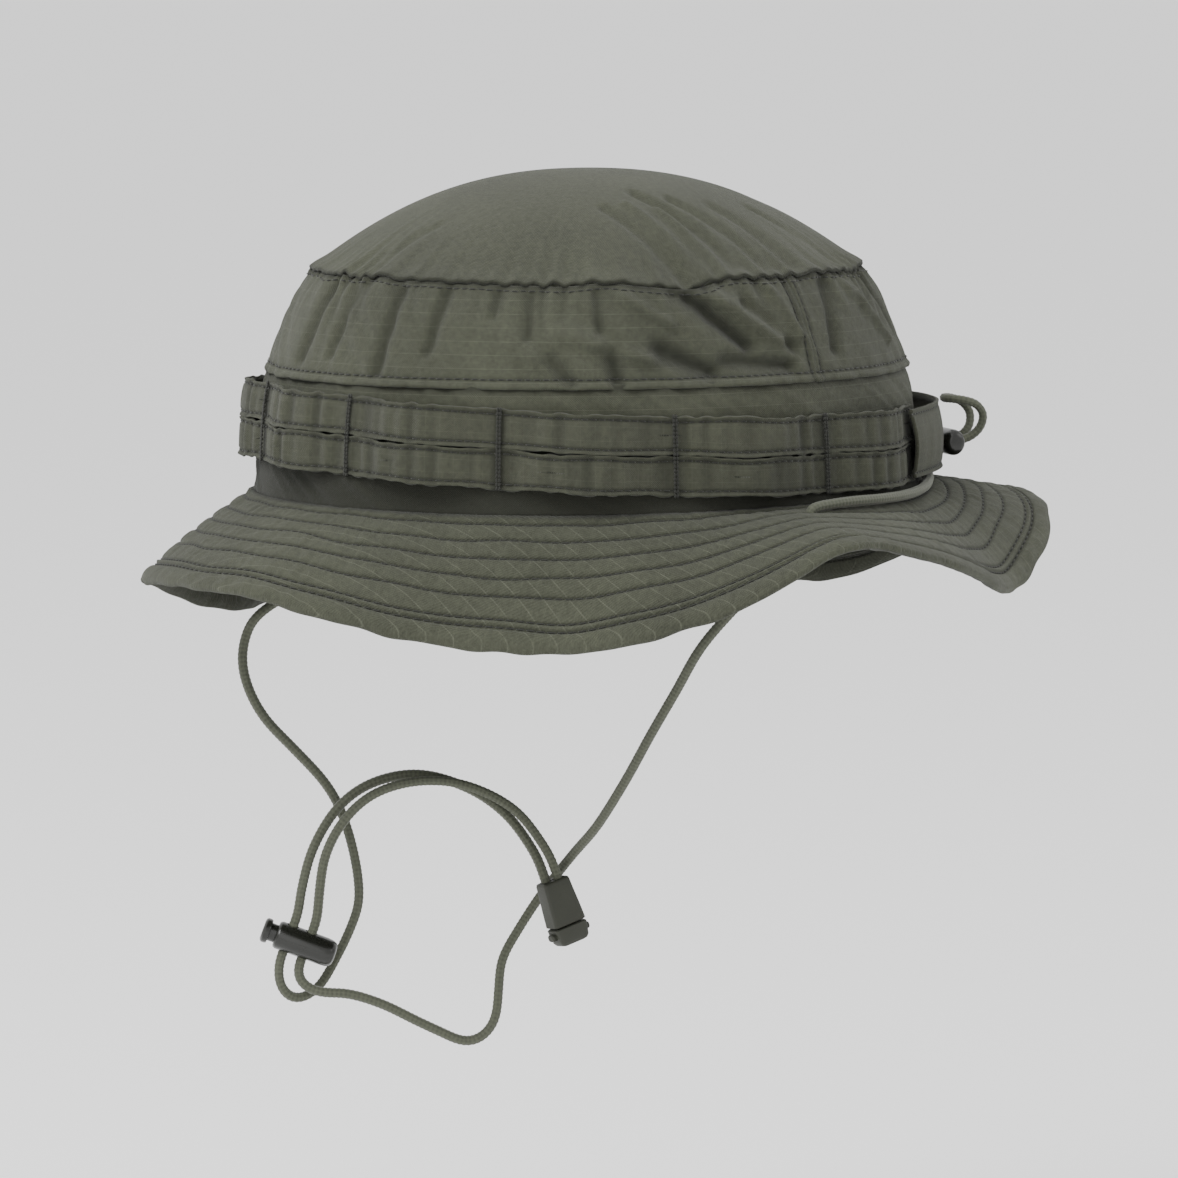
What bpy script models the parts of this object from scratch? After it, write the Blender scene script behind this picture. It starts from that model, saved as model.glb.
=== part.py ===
# Boonie hat: crown, band, loop tapes, quilted brim, chin cord with lock and end piece, rear drawcord.
# Metres, +Z up. The origin is the centre of the head opening, at the seam of brim and crown.
# The front of the hat faces -Y and the wearer's left is +X.
import math

import bmesh
import bpy
from mathutils import Matrix, Vector

MM = 0.001

# Crown
HALF_WIDTH = 86.0          # half axis of the head opening across the head
HALF_LENGTH = 101.0        # half axis from front to back
WALL_PROFILE = [(0.0, 1.0), (37.0, 0.96), (50.0, 0.92), (59.0, 0.888), (66.5, 0.838)]  # height, share
WELT_HEIGHT = 37.0         # folded seam between side panels and band
TOP_SEAM_HEIGHT = 66.5
DOME_RISE = 30.0
DOME_POWER = 2.3
FRONT_LEAN = 2.0           # the crown leans this far to the front at the top seam
SIDE_SEAM_ANGLE = 117.0    # upright seams, measured from the front
CROWN_CLOTH = 1.2
SWEATBAND_CLOTH = 1.0
SWEATBAND_HEIGHT = 30.0
SEAM_GAP = 0.5
SIDE_SEAM_GAP = 0.2        # degrees, on each side of the seam
SWEATBAND_GAP = 0.4

# Brim
BRIM_WIDTH = 43.0
BORDER_START = 0.85        # share of the brim's width where the border begins
BORDER_GAP = 0.01          # share of the width between plies and border
PLY_CLOTH = 0.7
INTERLINING_CLOTH = 0.6
BRIM_HALF_THICKNESS = 1.3
# Crests and troughs of the brim's waves: angle from the front, droop in degrees.
BRIM_DROOP = [(-150, 64), (-100, 54), (-60, 60), (-31, 66), (-10, 38), (8, 29), (26, 25), (40, 36),
              (54, 49), (70, 56), (87, 38), (104, 6), (122, 20), (140, 40), (152, 42), (168, 30),
              (180, 20)]
DROOP_EASE = 0.5           # how far each wave is rounded
DROOP_AT_SEAM = 0.75       # share of the droop at the seam; the rest is added towards the edge
CORD_HOLE_ANGLE = 109.0
CORD_HOLE_OUT = 8.0        # from the brim seam
CORD_HOLE_RADIUS = 2.7
CUT_LENGTH = 40.0          # of a tool that cuts right through

# Loop tapes and keeper
TAPE_HEIGHT = 10.8
TAPE_LOW = 15.0            # height between the tapes at the back
TAPE_FRONT_RISE = 8.0
TAPE_GAP = 0.6
TAPE_CLOTH = 1.0
TAPE_BULGE = 4.2
TACK_PITCH = 29.0          # degrees between bar tacks
TACKS_EACH_SIDE = 4
TAPE_END_ANGLE = 147.0
TACK_WIDTH = 1.6
TACK_DEPTH = 0.6
TACK_INSET = 0.4           # from the outer edges of the tapes
KEEPER_END_ANGLE = 143.0
KEEPER_BULGE = 6.6
KEEPER_HEIGHT = 20.0
KEEPER_MIDDLE = 15.0
KEEPER_CLOTH = 1.2
KEEPER_STANDOFF = 0.8      # at its ends, over the tapes

# Cords
CORD_RADIUS = 1.5
CORD_STEP = 8.0
HANG_ANGLE = 70.0          # the chin cord hangs in an upright plane turned this far from the front
DRAWCORD_RADIUS = 1.3
DRAWCORD_STEP = 4.0
HOLE_ROOM = 0.5            # round a cord in a hole
HOLE_STRAIGHT = 5.0        # straight cord below a brim hole
BACK_LIFT = 2.2            # of the cord above a brim hole

# Barrel locks: length along local X, cords along local Z.
LOCK_LEFT = -8.0
LOCK_RIGHT = 11.0
LOCK_HALF_WIDTH = 5.0
LOCK_FLAT = 4.0
LOCK_CORD_HOLES = (-4.0, 2.0)
LOCK_BORE_RADIUS = 3.2
LOCK_BORE_END = 9.9
PLUNGER_RADIUS = 2.8
PLUNGER_HEAD_RADIUS = 4.2
PLUNGER_HEAD = 2.4
PLUNGER_TRAVEL = 1.6
PLUNGER_END = 5.2
HEAD_OVERLAP = 0.5
BORE_OVERRUN = 2.0
SLOT_SIDE_ROOM = 0.1
SPRING_WIRE = 0.3
SPRING_RADIUS = 2.0
SPRING_TURNS = 3
SPRING_POINTS = 8          # in a turn
CLEARANCE = 0.3

CHIN_LOCK_CENTRE = (-87.4, 0.0, -139.0)   # across, towards the viewer, up, in the hanging plane
CHIN_LOCK_TILT = 20.5                     # degrees, down to the right
REAR_LOCK_CENTRE = (0.0, 115.7, 10.5)
REAR_LOCK_GIRTH = 0.8                     # of the chin lock's
REAR_CORD_HOLES = (-3.0, 3.0)
END_CENTRE = (-8.1, 8.0, -127.7)
END_TILT = 18.0
END_SIZE = (12.0, 8.0)
END_HALF_LENGTH = 10.0
END_SPLIT = -4.0
END_BEVEL = 0.8
END_HOLE_ROOM = 0.35
END_POCKET = (8.0, 5.0, 10.0)
END_PLUG = (7.2, 4.2, 6.0)
END_LUG = (2.4, 4.0, 2.6)
END_STRAIGHT = 2.5         # straight cord above the end piece

# Chin cord on the brim: angle from the front, distance out from the crown wall, height.
BACK_ROUTE = [(117, 7.5, 2.0), (126, 6.8, 1.6), (135, 6.0, 1.4), (144, 5.0, 1.8), (152, 3.8, 2.4),
              (160, 3.2, 3.2), (167, 2.8, 7.5), (174, 2.8, 12.0), (180, 2.8, 13.2), (186, 2.8, 12.0),
              (193, 2.8, 7.5), (200, 3.2, 2.8), (208, 4.4, 0.8), (216, 5.6, -0.8), (225, 6.4, -1.4),
              (234, 7.2, -1.8), (243, 7.8, -2.0)]
# Hanging stretches: across, towards the viewer, up, in the hanging plane.
RIGHT_ROUTE = [(56.0, 66.0, -14.0), (45.0, 60.0, -26.0), (33.0, 55.0, -40.5), (25.5, 47.0, -55.0),
               (18.0, 39.0, -69.5), (11.0, 30.0, -84.0), (2.5, 17.0, -100.0), (-5.0, 5.0, -111.0),
               (-14.5, -5.0, -125.0), (-21.5, -6.0, -136.0), (-26.5, -4.0, -145.0),
               (-27.5, -2.0, -154.0), (-28.5, 0.0, -162.5), (-32.5, 0.0, -168.0), (-38.0, 0.0, -169.5),
               (-45.0, 0.0, -166.5), (-52.5, 0.0, -163.0), (-62.5, 0.0, -158.0), (-73.0, 0.8, -154.5),
               (-81.0, 1.6, -154.0), (-86.5, 0.8, -152.0)]
LEFT_ROUTE = [(-4.0, -92.0, -13.0), (-24.0, -76.0, -22.0), (-52.0, -46.0, -28.0),
              (-76.0, -18.0, -31.0), (-90.0, -3.0, -33.0), (-99.0, 2.0, -38.0), (-103.0, 0.0, -44.0),
              (-104.5, 0.0, -52.5), (-102.5, 0.0, -61.5), (-97.5, 0.0, -70.5), (-89.0, -2.0, -80.0),
              (-80.5, -5.0, -90.0), (-75.5, -8.0, -99.5), (-71.5, -8.0, -113.0), (-70.0, -8.0, -126.5),
              (-72.5, -8.5, -135.5), (-77.0, -8.5, -145.0), (-82.5, -6.5, -154.0),
              (-89.0, -3.2, -157.0), (-93.5, -0.8, -153.0)]
LEFT_TAIL = [(-87.2, 0.0, -123.0), (-83.4, 0.8, -109.5), (-75.6, 0.0, -97.0), (-65.0, 0.0, -89.6),
             (-51.0, 0.0, -87.2), (-36.2, 1.0, -91.4), (-24.8, 2.6, -99.2), (-16.6, 5.6, -110.0)]
RIGHT_TAIL = [(-81.8, 0.4, -124.5), (-79.6, 2.8, -111.4), (-73.4, 4.0, -100.0), (-64.2, 4.2, -92.2),
              (-51.0, 4.2, -88.6), (-36.8, 5.0, -89.8), (-22.4, 6.0, -97.0), (-13.0, 7.6, -108.8)]
LOCK_STRAIGHT = 8.6        # straight cord on each side of the lock's centre
END_CORD_OFFSET = 1.9
END_CORD_DEPTH = 4.0
# Rear drawcord, left half: across the hat, back, up. The other half mirrors it.
DRAWCORD_ROUTE = [(-3.0, 106.2, 10.5), (-3.0, 110.5, 10.5), (-3.0, 115.7, 10.5), (-3.0, 119.5, 10.6),
                  (-3.2, 123.4, 11.6), (-4.0, 126.4, 14.4), (-5.0, 127.0, 18.4), (-5.4, 124.6, 21.6),
                  (-5.0, 120.8, 23.0), (-3.4, 117.8, 23.4), (0.0, 116.4, 23.4)]

# Mesh fineness
CROWN_COLUMNS = 60
BRIM_COLUMNS = 72
BRIM_ROWS = 4
TAPE_COLUMNS = 60
FRONT_PANEL_COLUMNS = 42
REAR_PANEL_COLUMNS = 24
KEEPER_COLUMNS = 24
DOME_RINGS = [1.0, 0.86, 0.7, 0.5, 0.3, 0.1]
BRIM_STEPS = 6
SHARP_ANGLE = 40.0

# Finishes: base colour, roughness, metallic
CLOTH_FINISH = ((0.098, 0.102, 0.076), 0.9, 0.0)
LINING_FINISH = ((0.085, 0.088, 0.066), 0.92, 0.0)
THREAD_FINISH = ((0.06, 0.062, 0.045), 0.85, 0.0)
CORD_FINISH = ((0.1, 0.104, 0.072), 0.8, 0.0)
DARK_PLASTIC = ((0.022, 0.023, 0.018), 0.35, 0.0)
OLIVE_PLASTIC = ((0.075, 0.078, 0.055), 0.5, 0.0)
STEEL_FINISH = ((0.5, 0.5, 0.5), 0.3, 1.0)


def clear_scene():
    for item in list(bpy.data.objects):
        bpy.data.objects.remove(item, do_unlink=True)


def material(name, finish):
    colour, roughness, metallic = finish
    made = bpy.data.materials.new(name)
    made.use_nodes = True
    shader = made.node_tree.nodes["Principled BSDF"]
    shader.inputs["Base Color"].default_value = (*colour, 1.0)
    shader.inputs["Roughness"].default_value = roughness
    shader.inputs["Metallic"].default_value = metallic
    return made


def interpolate(table, value):
    """Straight-line reading of a short (position, value) table."""
    for (x0, y0), (x1, y1) in zip(table, table[1:]):
        if value <= x1:
            share = max(0.0, (value - x0) / (x1 - x0))
            return y0 + (y1 - y0) * share
    return table[-1][1]


def brim_droop(angle):
    """Smooth droop in degrees all the way round, through the wave's own values."""
    first = BRIM_DROOP[0][0]
    angle = (angle - first) % 360.0 + first
    table = BRIM_DROOP + [(BRIM_DROOP[0][0] + 360, BRIM_DROOP[0][1])]
    for (x0, y0), (x1, y1) in zip(table, table[1:]):
        if angle <= x1:
            share = (angle - x0) / (x1 - x0)
            ease = share * share * (3.0 - 2.0 * share)
            return y0 + (y1 - y0) * (share + (ease - share) * DROOP_EASE)
    return table[-1][1]


def wall_point(angle, height, out=0.0):
    """Point of the crown's outer wall, or out from it, in millimetres."""
    turn = math.radians(angle)
    share = interpolate(WALL_PROFILE, height)
    half_x = HALF_WIDTH * share + out
    half_y = HALF_LENGTH * share + out
    lean = FRONT_LEAN * height / TOP_SEAM_HEIGHT
    return Vector((half_x * math.sin(turn), -half_y * math.cos(turn) - lean, height))


def brim_surface(angle, along):
    """Middle surface of the brim; along is 0 at the seam and 1 at the edge."""
    turn = math.radians(angle)
    out = Vector((math.sin(turn) / HALF_WIDTH, -math.cos(turn) / HALF_LENGTH, 0.0)).normalized()
    droop = math.radians(brim_droop(angle))
    reach = 0.0
    drop = 0.0
    part = BRIM_WIDTH * along / BRIM_STEPS
    for step in range(BRIM_STEPS):
        middle = along * (step + 0.5) / BRIM_STEPS
        slope = droop * (DROOP_AT_SEAM + 2.0 * (1.0 - DROOP_AT_SEAM) * middle)
        reach += math.cos(slope) * part
        drop += math.sin(slope) * part
    return wall_point(angle, 0.0, -SEAM_GAP) + out * reach - Vector((0.0, 0.0, drop))


def brim_normal(angle, along):
    """Upward direction of the brim's surface, from its slope over a short distance."""
    small = 0.02
    start = max(along, small)
    around_it = brim_surface(angle + 1.0, along) - brim_surface(angle - 1.0, along)
    inward = brim_surface(angle, start - small) - brim_surface(angle, start + small)
    return around_it.cross(inward).normalized()


def brim_point(angle, along, lift):
    return brim_surface(angle, along) + brim_normal(angle, along) * lift


def tape_middle(angle):
    """Height between the two tapes: they drop from the front to the back."""
    return TAPE_LOW + TAPE_FRONT_RISE * ((1.0 + math.cos(math.radians(angle))) / 2.0) ** 2


def tape_out(angle):
    """The tape lies on the band at each tack and stands off between them."""
    return CLEARANCE + TAPE_CLOTH + TAPE_BULGE * math.sin(math.pi * angle / TACK_PITCH) ** 2


def keeper_out(angle):
    """The keeper lies over the tape ends and stands off between them."""
    share = (angle - KEEPER_END_ANGLE) / (360.0 - 2.0 * KEEPER_END_ANGLE)
    base = 2 * CLEARANCE + TAPE_CLOTH + KEEPER_CLOTH + KEEPER_STANDOFF
    return base + KEEPER_BULGE * math.sin(math.pi * share) ** 2


def hang(across, towards, up):
    """From the chin cord's hanging plane to the hat's frame."""
    turn = math.radians(HANG_ANGLE)
    right = Vector((math.cos(turn), math.sin(turn), 0.0))
    front = Vector((math.sin(turn), -math.cos(turn), 0.0))
    return right * across + front * towards + Vector((0.0, 0.0, up))


def add_object(name, data, finish):
    made = bpy.data.objects.new(name, data)
    if finish:
        data.materials.append(material(f"{name} finish", finish))
    bpy.context.scene.collection.objects.link(made)
    return made


def mesh_object(name, shape, finish=None):
    """A named object from a bmesh in millimetres, shaded smooth with sharp corners kept."""
    bmesh.ops.scale(shape, vec=(MM, MM, MM), verts=shape.verts)
    bmesh.ops.recalc_face_normals(shape, faces=shape.faces)
    data = bpy.data.meshes.new(name)
    shape.to_mesh(data)
    shape.free()
    data.shade_smooth()
    data.set_sharp_from_angle(angle=math.radians(SHARP_ANGLE))
    return add_object(name, data, finish)


def cloth(name, surface, columns, rows, closed, thickness, finish, filled=False):
    """A sheet of cloth: surface(column, row) gives its outer face, and it thickens inwards."""
    shape = bmesh.new()
    grid = [[shape.verts.new(surface(column, row)) for column in columns] for row in rows]
    count = len(columns)
    for lower, upper in zip(grid, grid[1:]):
        for index in range(count if closed else count - 1):
            following = (index + 1) % count
            shape.faces.new((lower[index], lower[following], upper[following], upper[index]))
    if filled:
        shape.faces.new(grid[-1])
    bmesh.ops.scale(shape, vec=(MM, MM, MM), verts=shape.verts)
    data = bpy.data.meshes.new(name)
    shape.to_mesh(data)
    shape.free()
    data.shade_smooth()
    made = add_object(name, data, finish)
    thicken = made.modifiers.new("cloth thickness", "SOLIDIFY")
    thicken.thickness = thickness * MM
    thicken.offset = -1.0
    thicken.use_even_offset = True
    return made


def spread(start, stop, count):
    return [start + (stop - start) * index / count for index in range(count + 1)]


def around(count):
    return [360.0 * index / count for index in range(count)]


def shape_with(target, tool_name, shape, operation):
    """Cuts a hidden tool out of the target, or adds it on."""
    tool = mesh_object(tool_name, shape)
    tool.hide_render = True
    tool.display_type = "WIRE"
    step = target.modifiers.new(tool_name, "BOOLEAN")
    step.operation = operation
    step.object = tool
    return tool


def cut(target, tool_name, shape):
    return shape_with(target, tool_name, shape, "DIFFERENCE")


def cylinder(radius, length, frame, segments=16):
    shape = bmesh.new()
    bmesh.ops.create_cone(shape, cap_ends=True, segments=segments, radius1=radius, radius2=radius,
                          depth=length, matrix=frame)
    return shape


def box(size, frame):
    shape = bmesh.new()
    bmesh.ops.create_cube(shape, size=1.0, matrix=frame @ Matrix.Diagonal((*size, 1.0)))
    return shape


def axis_frame(centre, direction):
    """Frame at a point with its Z axis along a direction."""
    return Matrix.Translation(centre) @ direction.to_track_quat("Z", "Y").to_matrix().to_4x4()


def smooth_route(points, step):
    """Points of a smooth curve through a route, about one step apart."""
    route = [Vector(point) for point in points]
    padded = [route[0] * 2 - route[1]] + route + [route[-1] * 2 - route[-2]]
    result = [route[0]]
    for before, start, end, after in zip(padded, padded[1:], padded[2:], padded[3:]):
        pieces = max(1, round((end - start).length / step))
        for piece in range(1, pieces + 1):
            t = piece / pieces
            result.append(0.5 * (2 * start + (end - before) * t
                                 + (2 * before - 5 * start + 4 * end - after) * t * t
                                 + (3 * start - 3 * end + after - before) * t ** 3))
    return result


def tube(name, points, radius, finish, resolution=2):
    data = bpy.data.curves.new(name, "CURVE")
    data.dimensions = "3D"
    data.bevel_depth = radius * MM
    data.bevel_resolution = resolution
    data.use_fill_caps = True
    spline = data.splines.new("POLY")
    spline.points.add(len(points) - 1)
    for target, point in zip(spline.points, points):
        target.co = (*(point * MM), 1.0)
    return add_object(name, data, finish)


def make_crown():
    closed = around(CROWN_COLUMNS)
    seam_share = interpolate(WALL_PROFILE, TOP_SEAM_HEIGHT)

    def dome(angle, ring):
        rise = DOME_RISE * (1.0 - ring ** DOME_POWER)
        turn = math.radians(angle)
        return Vector((HALF_WIDTH * seam_share * ring * math.sin(turn),
                       -HALF_LENGTH * seam_share * ring * math.cos(turn) - FRONT_LEAN,
                       TOP_SEAM_HEIGHT + 2 * SEAM_GAP + rise))

    cloth("crown_top", dome, closed, DOME_RINGS, True, CROWN_CLOTH, CLOTH_FINISH, filled=True)
    between = [height for height, share in WALL_PROFILE if WELT_HEIGHT < height < TOP_SEAM_HEIGHT]
    heights = [WELT_HEIGHT + SEAM_GAP] + between + [TOP_SEAM_HEIGHT - SEAM_GAP]
    seam = SIDE_SEAM_ANGLE - SIDE_SEAM_GAP
    cloth("crown_front_panel", wall_point, spread(-seam, seam, FRONT_PANEL_COLUMNS), heights, False,
          CROWN_CLOTH, CLOTH_FINISH)
    seam = SIDE_SEAM_ANGLE + SIDE_SEAM_GAP
    cloth("crown_rear_panel", wall_point, spread(seam, 360.0 - seam, REAR_PANEL_COLUMNS), heights, False,
          CROWN_CLOTH, CLOTH_FINISH)
    base = BRIM_HALF_THICKNESS + 2 * SEAM_GAP
    cloth("hat_band", wall_point, closed, [base, WELT_HEIGHT - SEAM_GAP], True, CROWN_CLOTH, CLOTH_FINISH)

    def sweatband(angle, height):
        return wall_point(angle, height, -CROWN_CLOTH - SWEATBAND_GAP)

    cloth("sweatband", sweatband, closed, [base, SWEATBAND_HEIGHT], True, SWEATBAND_CLOTH, LINING_FINISH)


def brim_hole(side):
    """Centre and axis of the hole that the chin cord goes through."""
    angle = side * CORD_HOLE_ANGLE
    along = CORD_HOLE_OUT / BRIM_WIDTH
    return brim_surface(angle, along), brim_normal(angle, along)


def make_brim():
    closed = around(BRIM_COLUMNS)
    plies = [("brim_upper", BRIM_HALF_THICKNESS, PLY_CLOTH, CLOTH_FINISH),
             ("brim_interlining", INTERLINING_CLOTH / 2, INTERLINING_CLOTH, LINING_FINISH),
             ("brim_lower", PLY_CLOTH - BRIM_HALF_THICKNESS, PLY_CLOTH, CLOTH_FINISH)]
    rows = spread(BORDER_START - BORDER_GAP, 0.0, BRIM_ROWS)
    for name, lift, thickness, finish in plies:
        def ply(angle, along, lift=lift):
            return brim_point(angle, along, lift)

        made = cloth(name, ply, closed, rows, True, thickness, finish)
        for side, word in ((1, "left"), (-1, "right")):
            centre, normal = brim_hole(side)
            hole = cylinder(CORD_HOLE_RADIUS, CUT_LENGTH, axis_frame(centre, normal))
            cut(made, f"{name}_{word}_cord_hole", hole)

    def border(angle, along):
        return brim_point(angle, along, BRIM_HALF_THICKNESS)

    cloth("brim_edge_binding", border, closed, [1.0, BORDER_START], True, 2 * BRIM_HALF_THICKNESS,
          CLOTH_FINISH)


def make_tapes():
    rows = {"upper_loop_tape": (TAPE_GAP / 2, TAPE_GAP / 2 + TAPE_HEIGHT),
            "lower_loop_tape": (-TAPE_GAP / 2 - TAPE_HEIGHT, -TAPE_GAP / 2)}

    def tape(angle, height):
        return wall_point(angle, tape_middle(angle) + height, tape_out(angle))

    for name, span in rows.items():
        columns = spread(-TAPE_END_ANGLE, TAPE_END_ANGLE, TAPE_COLUMNS)
        cloth(name, tape, columns, span, False, TAPE_CLOTH, CLOTH_FINISH)

    half_height = TAPE_HEIGHT + TAPE_GAP / 2 - TACK_INSET
    half_turn = math.degrees(TACK_WIDTH / 2 / HALF_LENGTH)
    for index in range(-TACKS_EACH_SIDE, TACKS_EACH_SIDE + 1):
        middle = index * TACK_PITCH

        def tack(angle, height):
            out = tape_out(angle) + CLEARANCE + TACK_DEPTH
            return wall_point(angle, tape_middle(middle) + height, out)

        columns = spread(middle - half_turn, middle + half_turn, 2)
        cloth(f"bar_tack_{index + TACKS_EACH_SIDE + 1:02d}", tack, columns, (-half_height, half_height),
              False, TACK_DEPTH, THREAD_FINISH)

    def keeper(angle, height):
        return wall_point(angle, KEEPER_MIDDLE + height, keeper_out(angle))

    columns = spread(KEEPER_END_ANGLE, 360.0 - KEEPER_END_ANGLE, KEEPER_COLUMNS)
    made = cloth("rear_keeper", keeper, columns, (-KEEPER_HEIGHT / 2, KEEPER_HEIGHT / 2), False,
                 KEEPER_CLOTH, CLOTH_FINISH)
    for side, word in ((1, "left"), (-1, "right")):
        start = Vector(DRAWCORD_ROUTE[0])
        start.x *= -side
        hole = cylinder(DRAWCORD_RADIUS + HOLE_ROOM, CUT_LENGTH, axis_frame(start, Vector((0.0, 1.0, 0.0))))
        cut(made, f"rear_keeper_{word}_hole", hole)


def lock_frame(centre, across, cords):
    """Frame of a lock: X along its length, Z along the cords."""
    depth = cords.cross(across)
    turn = Matrix((across, depth, cords)).transposed().to_4x4()
    return Matrix.Translation(centre) @ turn


def chin_lock_frame():
    tilt = math.radians(CHIN_LOCK_TILT)
    across = hang(math.cos(tilt), 0.0, -math.sin(tilt))
    cords = hang(math.sin(tilt), 0.0, math.cos(tilt))
    return lock_frame(hang(*CHIN_LOCK_CENTRE), across, cords)


def rear_lock_frame():
    return lock_frame(Vector(REAR_LOCK_CENTRE), Vector((1.0, 0.0, 0.0)), Vector((0.0, 1.0, 0.0)))


def place(shape_object, frame):
    """Puts an object made at the origin, in millimetres, at its frame."""
    shift = frame.copy()
    shift.translation *= MM
    shape_object.matrix_world = shift


def along_x(radius, start, stop, segments=16):
    frame = axis_frame(Vector(((start + stop) / 2, 0.0, 0.0)), Vector((1.0, 0.0, 0.0)))
    return cylinder(radius, stop - start, frame, segments)


def make_lock(prefix, frame, girth, cord_holes, cord_radius):
    """A barrel lock: D-shaped body, plunger with a slot for the cords, and a spring behind it."""
    half = LOCK_HALF_WIDTH * girth
    outline = [(half * math.cos(math.radians(turn)), half * math.sin(math.radians(turn)))
               for turn in range(180, 361, 15)]
    outline += [(half, LOCK_FLAT * girth), (-half, LOCK_FLAT * girth)]
    shape = bmesh.new()
    face = shape.faces.new([shape.verts.new((LOCK_LEFT, y, z)) for y, z in outline])
    grown = bmesh.ops.extrude_face_region(shape, geom=[face])
    moved = [item for item in grown["geom"] if isinstance(item, bmesh.types.BMVert)]
    bmesh.ops.translate(shape, vec=(LOCK_RIGHT - LOCK_LEFT, 0.0, 0.0), verts=moved)
    body = mesh_object(f"{prefix}_body", shape, DARK_PLASTIC)
    place(body, frame)
    bore = along_x(LOCK_BORE_RADIUS * girth, LOCK_LEFT - BORE_OVERRUN, LOCK_BORE_END)
    tools = [cut(body, f"{prefix}_bore", bore)]
    for index, spot in enumerate(cord_holes):
        hole = cylinder(cord_radius + HOLE_ROOM, CUT_LENGTH, Matrix.Translation((spot, 0.0, 0.0)), 12)
        tools.append(cut(body, f"{prefix}_cord_hole_{index + 1}", hole))

    head_inner = LOCK_LEFT - PLUNGER_TRAVEL - CLEARANCE
    stem = along_x(PLUNGER_RADIUS * girth, head_inner - HEAD_OVERLAP, PLUNGER_END)
    plunger = mesh_object(f"{prefix}_plunger", stem, DARK_PLASTIC)
    place(plunger, frame)
    head = along_x(PLUNGER_HEAD_RADIUS * girth, head_inner - PLUNGER_HEAD, head_inner)
    tools.append(shape_with(plunger, f"{prefix}_plunger_head", head, "UNION"))
    room = cord_radius + CLEARANCE
    slot_start = min(cord_holes) - PLUNGER_TRAVEL - room
    slot_end = max(cord_holes) + room
    slot = box((slot_end - slot_start, 2 * (room + SLOT_SIDE_ROOM), CUT_LENGTH),
               Matrix.Translation(((slot_start + slot_end) / 2, 0.0, 0.0)))
    tools.append(cut(plunger, f"{prefix}_slot", slot))
    for tool in tools:
        place(tool, frame)

    coil_start = PLUNGER_END + PLUNGER_TRAVEL + CLEARANCE + SPRING_WIRE
    coil_end = LOCK_BORE_END - CLEARANCE - SPRING_WIRE
    radius = SPRING_RADIUS * girth
    points = []
    for step in range(SPRING_TURNS * SPRING_POINTS + 1):
        turn = step * 2 * math.pi / SPRING_POINTS
        x = coil_start + (coil_end - coil_start) * step / (SPRING_TURNS * SPRING_POINTS)
        points.append(frame @ Vector((x, radius * math.cos(turn), radius * math.sin(turn))))
    tube(f"{prefix}_spring", points, SPRING_WIRE, STEEL_FINISH, 1)


def end_frame():
    tilt = math.radians(END_TILT)
    across = hang(math.cos(tilt), 0.0, math.sin(tilt))
    up = hang(-math.sin(tilt), 0.0, math.cos(tilt))
    return lock_frame(hang(*END_CENTRE), across, up)


def rounded_box(size, middle):
    shape = box(size, Matrix.Translation((0.0, 0.0, middle)))
    bmesh.ops.bevel(shape, geom=shape.edges[:], offset=END_BEVEL, segments=2, affect="EDGES")
    return shape


def make_cord_end():
    """A two-hole end piece for the cord tails, closed below by a snap cap with side lugs."""
    frame = end_frame()
    width, depth = END_SIZE
    body_length = END_HALF_LENGTH - END_SPLIT
    shape = rounded_box((width, depth, body_length), END_SPLIT + body_length / 2)
    body = mesh_object("cord_end_body", shape, OLIVE_PLASTIC)
    place(body, frame)
    tools = []
    for index, side in enumerate((-1, 1)):
        hole_middle = Matrix.Translation((side * END_CORD_OFFSET, 0.0, END_HALF_LENGTH))
        hole = cylinder(CORD_RADIUS + END_HOLE_ROOM, 2 * (END_CORD_DEPTH + CLEARANCE), hole_middle, 12)
        tools.append(cut(body, f"cord_end_hole_{index + 1}", hole))
    pocket = box(END_POCKET, Matrix.Translation((0.0, 0.0, END_SPLIT)))
    tools.append(cut(body, "cord_end_pocket", pocket))

    cap_height = END_HALF_LENGTH + END_SPLIT - CLEARANCE
    cap_middle = END_SPLIT - CLEARANCE - cap_height / 2
    cap = mesh_object("cord_end_cap", rounded_box((width, depth, cap_height), cap_middle), OLIVE_PLASTIC)
    place(cap, frame)
    extras = [("plug", END_PLUG, (0.0, 0.0, END_SPLIT)),
              ("left_lug", END_LUG, (-width / 2, 0.0, cap_middle)),
              ("right_lug", END_LUG, (width / 2, 0.0, cap_middle))]
    for word, size, spot in extras:
        extra = box(size, Matrix.Translation(spot))
        tools.append(shape_with(cap, f"cord_end_{word}", extra, "UNION"))
    for tool in tools:
        place(tool, frame)


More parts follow.
